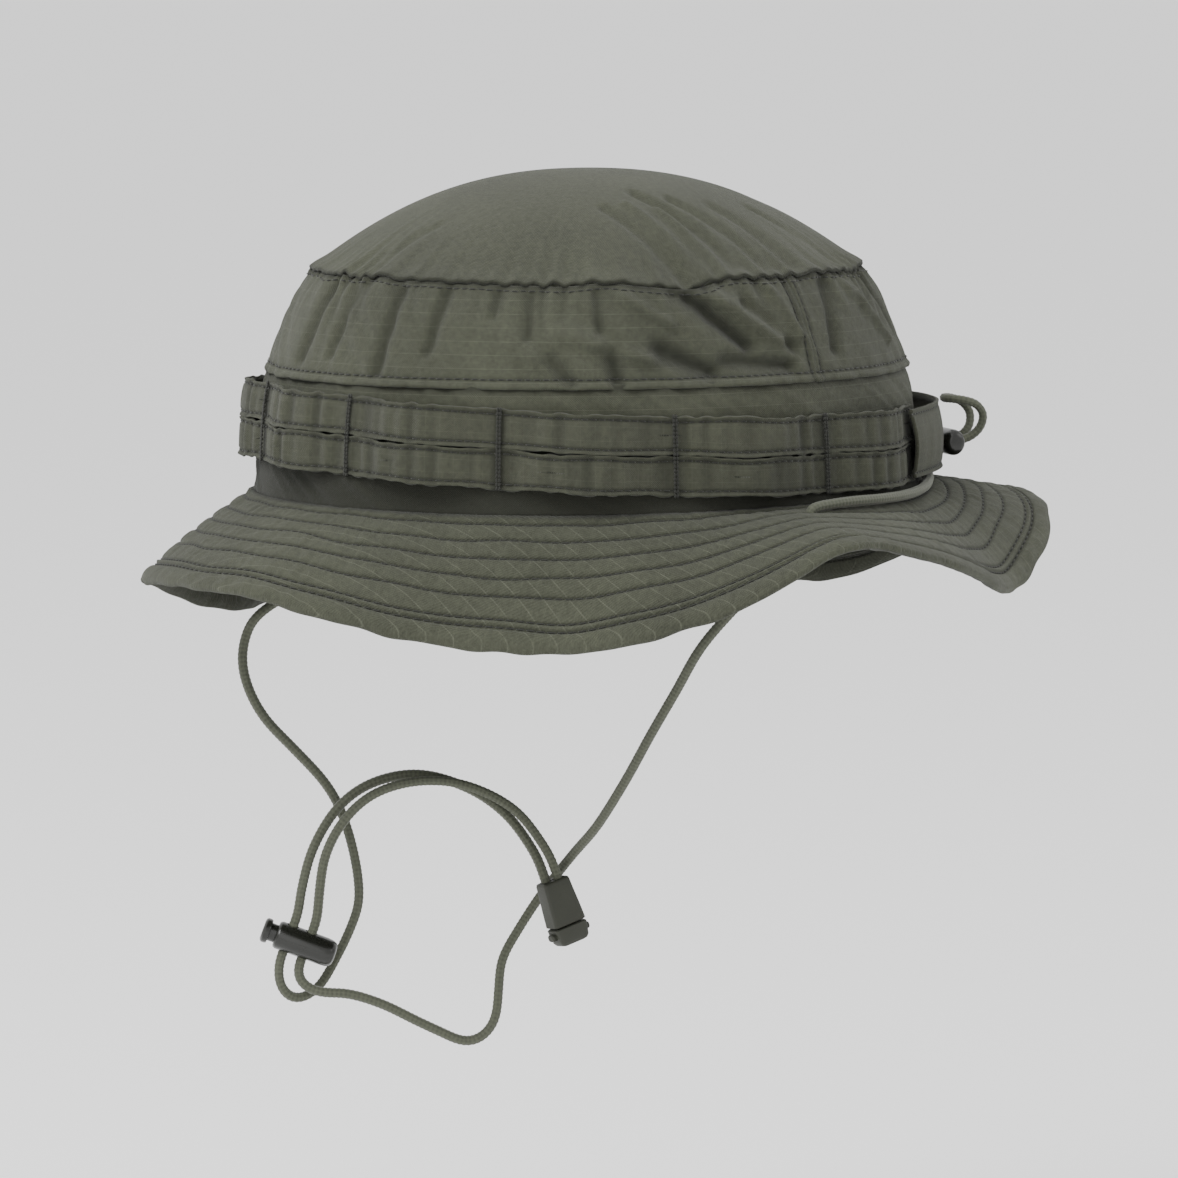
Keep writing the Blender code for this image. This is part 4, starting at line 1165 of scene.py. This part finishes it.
SWEATBAND_PUCKERS = [(0.1, 20, 60, 23)]
TAPE_LOW = 15.0            # height between the two tapes at the back
TAPE_FRONT_RISE = 8.0


def tape_middle(angle):
    return TAPE_LOW + TAPE_FRONT_RISE * ((1.0 + np.cos(np.radians(angle))) / 2.0) ** 2


def hat_band():
    angle, height = np.meshgrid(full_turn(BAND_COLUMNS),
                                np.linspace(BAND_LOW, WELT_HEIGHT + BAND_TUCK, BAND_ROWS))
    out = rippled(BAND_SWELL, angle) + rippled(BAND_CREASES, angle + height)
    out += near(height - WELT_HEIGHT, *BAND_PINCH) + near(height - RIDGE_HEIGHT, *BAND_RIDGE)
    painted_shade = near(height - WELT_HEIGHT + BAND_TUCK, *BAND_SHADE)
    painted_shade += BEHIND_TAPES / (1.0 + np.exp((height - tape_middle(angle) - SHADE_RISE) / SHADE_FADE))
    piece = cloth_shell("sewn_hat_band", wall(angle, height, out), True, CROWN_CLOTH,
                        np.stack([angle * MM_PER_DEGREE, height], -1), cloth_finish, painted_shade)
    sew(piece, ["hat_band"])


def sweatband():
    angle, height = np.meshgrid(full_turn(SWEATBAND_COLUMNS),
                                np.linspace(SWEATBAND_LOW, SWEATBAND_HIGH, SWEATBAND_ROWS))
    share = (height - SWEATBAND_LOW) / (SWEATBAND_HIGH - SWEATBAND_LOW)
    out = SWEATBAND_SWELL * np.sin(np.pi * share) - SWEATBAND_INSET + rippled(SWEATBAND_PUCKERS, angle)
    piece = cloth_shell("sewn_sweatband", wall(angle, height, out), True, SWEATBAND_CLOTH,
                        np.stack([angle * MM_PER_DEGREE, height], -1), lining_finish)
    sew(piece, ["sweatband"])


hat_band()
sweatband()

# %% [markdown]
# The brim is two plies with a stiffer cloth between them, quilted by rows of stitching. The cloth
# puffs up between the rows and draws in at them, so the height of the surface follows the
# distance to the nearest row, and uneven ripples pucker it along each row.

# %% Quilting
BRIM_ROWS = [3.4, 9.3, 15.2, 21.1, 27.0]
TWIN_ROWS = [34.1, 36.4]
ROW_WANDER = [(0.45, 7, 30, 41)]   # stitch rows aren't drawn with a compass
FIRST_PUCKERS = [(0.42, 50, 150, 60), (0.25, 120, 240, 80)]
PUFF = 0.42
PUFF_FULLNESS = 0.6        # below 1, the cloth rises steeply beside a row
PUFF_PUCKER = 0.4
PUCKER_LIFT = 0.42
GROOVE = (0.55, -0.42)
TWIN_GROOVE = (0.5, -0.42 * 0.7)
TWIN_RIDGE = (0.55, 0.5)   # between the twin rows
SEAM_RIDGE = (0.7, 0.7)    # the turned edge beside the crown seam
SEAM_RIDGE_OUT = 1.0
SEWN_ROWS = [(row, index) for index, row in enumerate(BRIM_ROWS)]
SEWN_ROWS += [(row, len(BRIM_ROWS)) for row in TWIN_ROWS]


def row_shift(angle, index):
    """How far a row wanders; the twin rows wander together."""
    return rippled(ROW_WANDER, angle, index)


def quilting(angle, distance):
    """How far the quilted surface stands above the flat ply."""
    height = np.zeros_like(distance)
    inner = 0.0
    for index, row in enumerate(BRIM_ROWS + TWIN_ROWS[:1]):
        outer = row + row_shift(angle, index)
        share = (distance - inner) / (outer - inner)
        swell = np.sin(np.pi * np.clip(share, 0, 1))
        pucker = rippled(FIRST_PUCKERS, angle, index)
        puffed = swell ** PUFF_FULLNESS * PUFF * (1.0 + PUFF_PUCKER * pucker) + swell * PUCKER_LIFT * pucker
        height += np.where((share >= 0) & (share <= 1), puffed, 0.0)
        inner = outer
    for row, index in SEWN_ROWS:
        groove = GROOVE if row in BRIM_ROWS else TWIN_GROOVE
        height += near(distance - row - row_shift(angle, index), *groove)
    height += near(distance - sum(TWIN_ROWS) / 2 - row_shift(angle, len(BRIM_ROWS)), *TWIN_RIDGE)
    return height + near(distance - SEAM_RIDGE_OUT, *SEAM_RIDGE)


print("rows of stitching in the brim:", len(SEWN_ROWS))

# %% [markdown]
# Both plies are cut as ring-shaped ovals. The grid has many lines close to each stitch row, where the
# surface turns quickly, and few between, which keeps the mesh light. The lower ply puffs less and is
# seen less, so it has half the columns.

# %% Brim plies
BRIM_HALF = 1.3            # half the brim's thickness
PLY_SINK = 0.2             # the plies are pressed in
PLY_CLOTH = 0.9
LOWER_PUFF = 0.8
BRIM_COLUMNS = 600
BRIM_START = 0.2
LINE_STEP = 1.9
LINES_AT_ROW = np.array([-1.3, -0.8, -0.5, -0.25, 0.0, 0.25, 0.5, 0.8, 1.3])
BORDER_START = 36.7
BORDER_OVERLAP = 1.8       # the plies run on under the border
CROWN_SHADE = (1.8, 0.9)
ROW_SHADE = (0.55, 0.8)
TWIN_SHADE = (0.45, 0.8)
BRIM_EASE = 0.95           # the flat ring's share of the quilted area


def brim_plies():
    end = BORDER_START + BORDER_OVERLAP
    lines = np.concatenate([row + LINES_AT_ROW for row in BRIM_ROWS + TWIN_ROWS]
                           + [np.arange(BRIM_START, BORDER_START, LINE_STEP), [end]])
    lines = np.unique(np.round(np.clip(lines, BRIM_START, end), 2))[::-1]
    angle, distance = np.meshgrid(full_turn(BRIM_COLUMNS), lines)
    middle = brim(angle, distance)
    normals = grid_normals(middle, True)
    raised = quilting(angle, distance)
    # Painted shade beside the crown seam and along each stitch row.
    grooves = near(distance, *CROWN_SHADE)
    for row, index in SEWN_ROWS:
        shade = ROW_SHADE if row in BRIM_ROWS else TWIN_SHADE
        grooves += near(distance - row - row_shift(angle, index), *shade)
    upper = middle + normals * (BRIM_HALF - PLY_SINK + raised)[..., None]
    piece = cloth_shell("sewn_brim_upper", upper, True, PLY_CLOTH, middle[..., :2], brim_finish,
                        np.clip(grooves, 0.0, 1.0))
    area = round(BRIM_EASE * one_face_area(piece), 4)
    sew(piece, ["brim_upper", "brim_interlining"])
    lower = middle - normals * (BRIM_HALF - PLY_SINK + LOWER_PUFF * raised)[..., None]
    # The lower ply gets the cloth in painted shade.
    piece = cloth_shell("sewn_brim_lower", lower[::-1, ::2], True, PLY_CLOTH, middle[::-1, ::2, :2],
                        under_painted_shade_finish)
    sew(piece, ["brim_lower"])


brim_plies()

# %% [markdown]
# A strip of the same cloth is folded round the brim's edge and caught by the outer twin row. Its
# section is a short list of places: over the top, round the rim and back underneath.

# %% Brim border
BORDER_CLOTH = 0.6
BORDER_INSET = 0.3         # from the border's line to its edge
BORDER_SINK = 0.1
BORDER_SWELL = 0.55
SWELL_FULLNESS = 0.6
FACE_STEPS = 12            # across each face of the fold
RIM_STEPS = 7
RIM_REACH = 0.2            # share of the width that the rim stands out
RIM_START = 0.3            # radians left to the flat faces
RIM_INSET = 1.0            # from the brim's edge to where the rim starts
WANDER_SHARE = 0.6         # of the twin rows' wandering
EDGE_WANDER = [(0.45, 22, 64, 95)]
BORDER_PUCKERS = [(0.28, 50, 140, 97)]
NORMAL_TURN = 0.5          # degrees to each side, to measure a slope
UNDER_START = 0.55         # share of the section that is underneath
UNDER_SHADE = 0.75


def border_section():
    """Share of the border's width and height from the brim's middle, from the upper edge to the lower."""
    top = [(share, BRIM_HALF - BORDER_SINK + BORDER_SWELL * math.sin(math.pi * share) ** SWELL_FULLNESS)
           for share in np.linspace(0.0, 1.0, FACE_STEPS)]
    rim = [(1.0 + RIM_REACH * math.sin(t), (BRIM_HALF - BORDER_SINK) * math.cos(t))
           for t in np.linspace(RIM_START, math.pi - RIM_START, RIM_STEPS)]
    return top + rim + [(share, -lift) for share, lift in top[::-1]]


def border_points(angle):
    edge = BRIM_WIDTH + rippled(EDGE_WANDER, angle)
    start = BORDER_START + BORDER_INSET + row_shift(angle, len(BRIM_ROWS)) * WANDER_SHARE
    lines = []
    for share, lift in border_section():
        pucker = rippled(BORDER_PUCKERS, angle) * math.sin(math.pi * min(share, 1.0))
        distance = start + (edge - RIM_INSET - start) * share
        base = brim(angle, distance)
        along = brim(angle + NORMAL_TURN, distance) - brim(angle - NORMAL_TURN, distance)
        normal = np.cross(along, brim(angle, distance - 1.0) - base)
        normal /= np.linalg.norm(normal, axis=-1, keepdims=True)
        lines.append(base + normal * (lift + pucker)[..., None])
    return np.array(lines)


def brim_border():
    points = border_points(full_turn(BRIM_COLUMNS))[::-1]
    under = np.linspace(1.0, 0.0, len(points)) > UNDER_START
    painted_shade = np.broadcast_to(under[:, None] * UNDER_SHADE, points.shape[:2])
    piece = cloth_shell("sewn_brim_border", points, True, BORDER_CLOTH, points[..., :2], brim_finish, painted_shade)
    sew(piece, ["brim_edge_binding"])


brim_border()

# %% [markdown]
# The two loop tapes are folded strips sewn along both edges and tacked to the band at even places.
# Between tacks each stands off, so twigs or a cord can go behind it. Upright pleats and a pull beside
# each tack show that the strip is longer than the band under it.

# %% Loop tapes
TAPE_COLUMNS = 620
TAPE_ROWS = 31
TAPE_HEIGHT = 10.8
TAPE_GAP = 0.6
TAPE_CLOTH = 0.9
TAPE_STANDOFF = 1.3        # at a tack
TAPE_LEAST = 1.0           # never nearer to the wall
TAPE_BULGE = 4.2           # between tacks
TAPE_END_ANGLE = 147.0
TAPE_MM_PER_DEGREE = 1.65
TACK_PITCH = 29.0
TACK_PULL = (1.1, -0.9)
PULL_BESIDE = 2.2          # degrees from the tack
TACK_SHADE = (1.4, 0.5)
STRIP_STITCH = 1.3         # from a strip's edge to its stitches
STRIP_ROLL = (0.7, 0.35)
STRIP_GROOVE = (0.5, -0.4)
STRIP_SHADE = (0.5, 0.8)
PLEATS = [(0.62, 50, 130, 0), (0.4, 16, 44, 1)]
PLEAT_SHADE = 0.75
TAPE_WANDER = [(0.35, 9, 30, 2)]
LOWER_WANDER = -0.6        # of a tape's lower edge, against its upper one
# Piece, node, height of its lower edge from between the tapes, and seed.
TAPES = [("sewn_upper_tape", "upper_loop_tape", TAPE_GAP / 2, 120),
         ("sewn_lower_tape", "lower_loop_tape", -TAPE_GAP / 2 - TAPE_HEIGHT, 130)]


def from_edges(share, height):
    return np.minimum(share, 1.0 - share) * height


def strip_form(share, height):
    """A folded strip: rolled edges, a stitched groove inside each, and a flat middle."""
    inwards = from_edges(share, height)
    return near(inwards, *STRIP_ROLL) + near(inwards - STRIP_STITCH, *STRIP_GROOVE)


def from_tack(angle):
    return np.abs((angle + TACK_PITCH / 2) % TACK_PITCH - TACK_PITCH / 2)


def tape_points(angle, share, low, seed):
    loose = rippled(PLEATS, angle, seed) + near(from_tack(angle) - PULL_BESIDE, *TACK_PULL)
    out = TAPE_STANDOFF + TAPE_BULGE * np.sin(np.pi * angle / TACK_PITCH) ** 2
    out = out + strip_form(share, TAPE_HEIGHT) + loose * np.sin(np.pi * share) ** 0.5
    wander = rippled(TAPE_WANDER, angle, seed) * np.where(share > 0.5, 1.0, LOWER_WANDER)
    height = tape_middle(angle) + low + TAPE_HEIGHT * share + wander
    return wall(angle, height, np.maximum(out, TAPE_LEAST))


for name, node, low, seed in TAPES:
    angle, share = np.meshgrid(np.linspace(-TAPE_END_ANGLE, TAPE_END_ANGLE, TAPE_COLUMNS),
                               np.linspace(0, 1, TAPE_ROWS))
    painted_shade = near(from_edges(share, TAPE_HEIGHT) - STRIP_STITCH, *STRIP_SHADE)
    painted_shade += PLEAT_SHADE * np.maximum(-rippled(PLEATS, angle, seed), 0.0)
    painted_shade += near(from_tack(angle), *TACK_SHADE)
    tape = cloth_shell(name, tape_points(angle, share, low, seed), False, TAPE_CLOTH,
                       np.stack([angle * TAPE_MM_PER_DEGREE, share * TAPE_HEIGHT], -1), tape_finish,
                       np.clip(painted_shade, 0, 1))
    sew(tape, [node])

# %% [markdown]
# At the back a wider strap hides the ends of both tapes and stands off the crown like a belt loop. It
# is the same folded strip, bowed out once, and stays flat beside the rear lock.

# %% Rear keeper
KEEPER_COLUMNS = 180
KEEPER_ROWS = 30
KEEPER_END_ANGLE = 143.0
KEEPER_HEIGHT = 20.0
KEEPER_MIDDLE = 15.0
KEEPER_CLOTH = 1.1
KEEPER_STANDOFF = 3.6      # at its ends, over the tapes
KEEPER_BULGE = 6.6
KEEPER_CROWN = 1.6         # rounding across its height
KEEPER_PUCKERS = [(0.5, 20, 60, 141)]
KEEPER_MM_PER_DEGREE = 1.8
LOCK_CLEARANCE = 14.0      # degrees each side of the rear lock where the keeper stays flat


def keeper_points(angle, share):
    bow = (angle - KEEPER_END_ANGLE) / (360.0 - 2 * KEEPER_END_ANGLE)
    out = KEEPER_STANDOFF + KEEPER_BULGE * np.sin(np.pi * bow) ** 2 + strip_form(share, KEEPER_HEIGHT)
    beside_lock = 1.0 - near(angle - 180.0, LOCK_CLEARANCE)
    out = out + (rippled(KEEPER_PUCKERS, angle) + KEEPER_CROWN) * np.sin(np.pi * share) * beside_lock
    return wall(angle, KEEPER_MIDDLE + KEEPER_HEIGHT * (share - 0.5), out)


angle, share = np.meshgrid(np.linspace(KEEPER_END_ANGLE, 360 - KEEPER_END_ANGLE, KEEPER_COLUMNS),
                           np.linspace(0, 1, KEEPER_ROWS))
keeper = cloth_shell("sewn_rear_keeper", keeper_points(angle, share), False, KEEPER_CLOTH,
                     np.stack([angle * KEEPER_MM_PER_DEGREE, share * KEEPER_HEIGHT], -1), tape_finish,
                     near(from_edges(share, KEEPER_HEIGHT) - STRIP_STITCH, *STRIP_SHADE))
sew(keeper, ["rear_keeper"])

# %% [markdown]
# All sewing is the same thing: short stitches at an even pitch along a line. A Geometry Nodes tree
# does that once: it turns edges into curves, spaces points along them and puts one small
# stitch, turned along the line, at each point.

# %% Stitch tree
STITCH_BALL = [("Segments", 6), ("Rings", 5), ("Radius", 0.5)]
STITCH_SIZES = [("Pitch", 0.003), ("Length", 0.0022), ("Thickness", 0.0005)]   # metres


def stitch_tree():
    tree = bpy.data.node_groups.new("stitches along lines", "GeometryNodeTree")
    face = tree.interface
    face.new_socket("Lines", in_out="INPUT", socket_type="NodeSocketGeometry")
    for label, value in STITCH_SIZES:
        face.new_socket(label, in_out="INPUT", socket_type="NodeSocketFloat").default_value = value
    face.new_socket("Thread", in_out="INPUT", socket_type="NodeSocketMaterial")
    face.new_socket("Stitches", in_out="OUTPUT", socket_type="NodeSocketGeometry")

    def node(kind, links=(), settings=(), values=()):
        """Makes a node with its settings, values and links, and gives its outputs."""
        made = tree.nodes.new(kind)
        for key, value in settings:
            setattr(made, key, value)
        for key, value in values:
            made.inputs[key].default_value = value
        for key, source in links:
            tree.links.new(source, made.inputs[key])
        return made.outputs

    given = node("NodeGroupInput")
    curves = node("GeometryNodeMeshToCurve", [("Mesh", given["Lines"])])
    spaced = node("GeometryNodeResampleCurve", [("Curve", curves[0]), ("Length", given["Pitch"])],
                  settings=[("mode", "LENGTH")])
    along = node("GeometryNodeInputTangent")
    turned = node("FunctionNodeAlignRotationToVector", [("Vector", along[0])], settings=[("axis", "X")])
    ball = node("GeometryNodeMeshUVSphere", values=STITCH_BALL)
    size = node("ShaderNodeCombineXYZ", [(0, given["Length"]), (1, given["Thickness"]),
                                         (2, given["Thickness"])])
    placed = node("GeometryNodeInstanceOnPoints", [("Points", spaced[0]), ("Instance", ball[0]),
                                                   ("Rotation", turned[0]), ("Scale", size[0])])
    real = node("GeometryNodeRealizeInstances", [(0, placed[0])])
    smooth = node("GeometryNodeSetShadeSmooth", [(0, real[0])])
    painted = node("GeometryNodeSetMaterial", [("Geometry", smooth[0]), ("Material", given["Thread"])])
    node("NodeGroupOutput", [(0, painted[0])])
    return tree


STITCHES = stitch_tree()
print("stitch tree:", len(STITCHES.nodes), "nodes")

# %% [markdown]
# A seam on the hat is many lines sewn with one thread, so one mesh of loose edges carries them all. The
# tree runs on it as a modifier; its result is kept as a plain mesh, which needs no modifier later.


# %% Sewing along lines
def stitched(name, lines, pitch, length, thickness):
    """Stitches along several lines of points, as one plain mesh; all sizes in millimetres."""
    data = bpy.data.meshes.new(name + "_lines")
    edges = []
    start = 0
    for line in lines:
        edges += [(start + index, start + index + 1) for index in range(len(line) - 1)]
        start += len(line)
    data.from_pydata((np.concatenate(lines) * MM).tolist(), edges, [])
    carrier = new_object(name + "_lines", data)
    sewing = carrier.modifiers.new("stitches", "NODES")
    sewing.node_group = STITCHES
    sockets = {item.name: item.identifier for item in STITCHES.interface.items_tree if item.in_out == "INPUT"}
    for label, value in (("Pitch", pitch), ("Length", length), ("Thickness", thickness)):
        sewing[sockets[label]] = value * MM
    sewing[sockets["Thread"]] = stitch_finish
    graph = bpy.context.evaluated_depsgraph_get()
    mesh = bpy.data.meshes.new_from_object(carrier.evaluated_get(graph))
    bpy.data.objects.remove(carrier, do_unlink=True)
    mesh.name = name
    piece = new_object(name, mesh)
    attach(piece, "hat")
    print(name, len(mesh.polygons), "faces")
    return piece


# %% [markdown]
# The rows on the brim show on both sides of it. Each line follows the wandering row and the quilted
# height of the cloth, and lies a hair above it.

# %% Brim stitching
LINE_POINTS = 900
STITCH_LIFT = 0.12         # above the cloth
UNDER_SINK = 0.08          # the lower stitches lie closer
SLOPE_STEP = 0.5           # to each side of a row, to measure the slope

around_hat = np.append(full_turn(LINE_POINTS), 180.0)


def brim_line(row, index, below=False):
    distance = row + row_shift(around_hat, index)
    beside = np.stack([distance + SLOPE_STEP, distance, distance - SLOPE_STEP])
    grid = brim(np.stack([around_hat] * 3), beside)
    lift = BRIM_HALF - PLY_SINK + quilting(around_hat, distance) + STITCH_LIFT
    return grid[1] + grid_normals(grid, False)[1] * (UNDER_SINK - lift if below else lift)[:, None]


stitched("brim_stitching", [brim_line(*row) for row in SEWN_ROWS], 2.9, 2.5, 0.55)
stitched("brim_stitching_below", [brim_line(*row, below=True) for row in SEWN_ROWS], 2.9, 2.5, 0.5)

# %% [markdown]
# Each tape and the keeper has a row inside either edge. Bar tacks are two close upright rows through
# both tapes, of thicker thread; they stand for the solid bars.

# %% Tape stitching and bar tacks
TAPE_POINTS = 700
KEEPER_POINTS = 240
TAPE_STITCH_LIFT = 0.1
TACKS_EACH_SIDE = 4
TACK_POINTS = 40
TACK_HALF = 0.35           # from a tack's middle to each of its rows
TACK_OVERLAP = 0.4         # past the tapes' edges
TACK_OUT = 2.0


def row_shares(height):
    return STRIP_STITCH / height, 1 - STRIP_STITCH / height


tape_lines = []
angle = np.linspace(-TAPE_END_ANGLE, TAPE_END_ANGLE, TAPE_POINTS)
for _, _, low, seed in TAPES:
    for share in row_shares(TAPE_HEIGHT):
        points = tape_points(angle, np.full(TAPE_POINTS, share), low, seed)
        level = np.linalg.norm(points[:, :2], axis=1, keepdims=True)
        tape_lines.append(points + points / level * np.array([1.0, 1.0, 0.0]) * TAPE_STITCH_LIFT)
angle = np.linspace(KEEPER_END_ANGLE, 360 - KEEPER_END_ANGLE, KEEPER_POINTS)
for share in row_shares(KEEPER_HEIGHT):
    points = keeper_points(angle, np.full(KEEPER_POINTS, share))
    tape_lines.append(points + points / np.linalg.norm(points, axis=1, keepdims=True) * TAPE_STITCH_LIFT)
stitched("tape_stitching", tape_lines, 2.5, 2.1, 0.45)

tack_lines = []
heights = np.linspace(-TAPE_HEIGHT - TACK_OVERLAP, TAPE_HEIGHT + TACK_OVERLAP, TACK_POINTS)
for index in range(-TACKS_EACH_SIDE, TACKS_EACH_SIDE + 1):
    for offset in (-TACK_HALF, TACK_HALF):
        angle = np.full(TACK_POINTS, index * TACK_PITCH + offset / MM_PER_DEGREE)
        tack_lines.append(wall(angle, tape_middle(angle) + heights, TACK_OUT))
tacks = stitched("bar_tack_stitching", tack_lines, 1.15, 1.35, 0.75)
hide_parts(*[f"bar_tack_{number:02d}" for number in range(1, 2 * TACKS_EACH_SIDE + 2)])

# %% [markdown]
# The crown is stitched beside both upright seams, above the welt and just under the top seam. The lines
# follow the folded side, so stitches sink and rise with the cloth.

# %% Crown stitching
SEAM_POINTS = 60
SEAM_LOW = 2.0             # above the welt
SEAM_HIGH = 3.0            # below the top seam
TOP_STITCH = 1.8           # below the top seam


def side_line(angle, height):
    return wall(angle, height, side_form(angle, height)[0] + STITCH_LIFT)


seam_lines = []
heights = np.linspace(WELT_HEIGHT + SEAM_LOW, TOP_SEAM_HEIGHT - SEAM_HIGH, SEAM_POINTS)
for side in (-SIDE_SEAM_ANGLE, SIDE_SEAM_ANGLE):
    for offset in (-SIDE_SEAM_HALF, SIDE_SEAM_HALF):
        seam_lines.append(side_line(np.full(SEAM_POINTS, side + offset / MM_PER_DEGREE), heights))
seam_lines.append(side_line(around_hat, np.full_like(around_hat, WELT_HEIGHT + WELT_STITCH)))
seam_lines.append(side_line(around_hat, TOP_SEAM_HEIGHT - TOP_STITCH + seam_dip(around_hat)))
stitched("crown_stitching", seam_lines, 2.6, 2.2, 0.5)
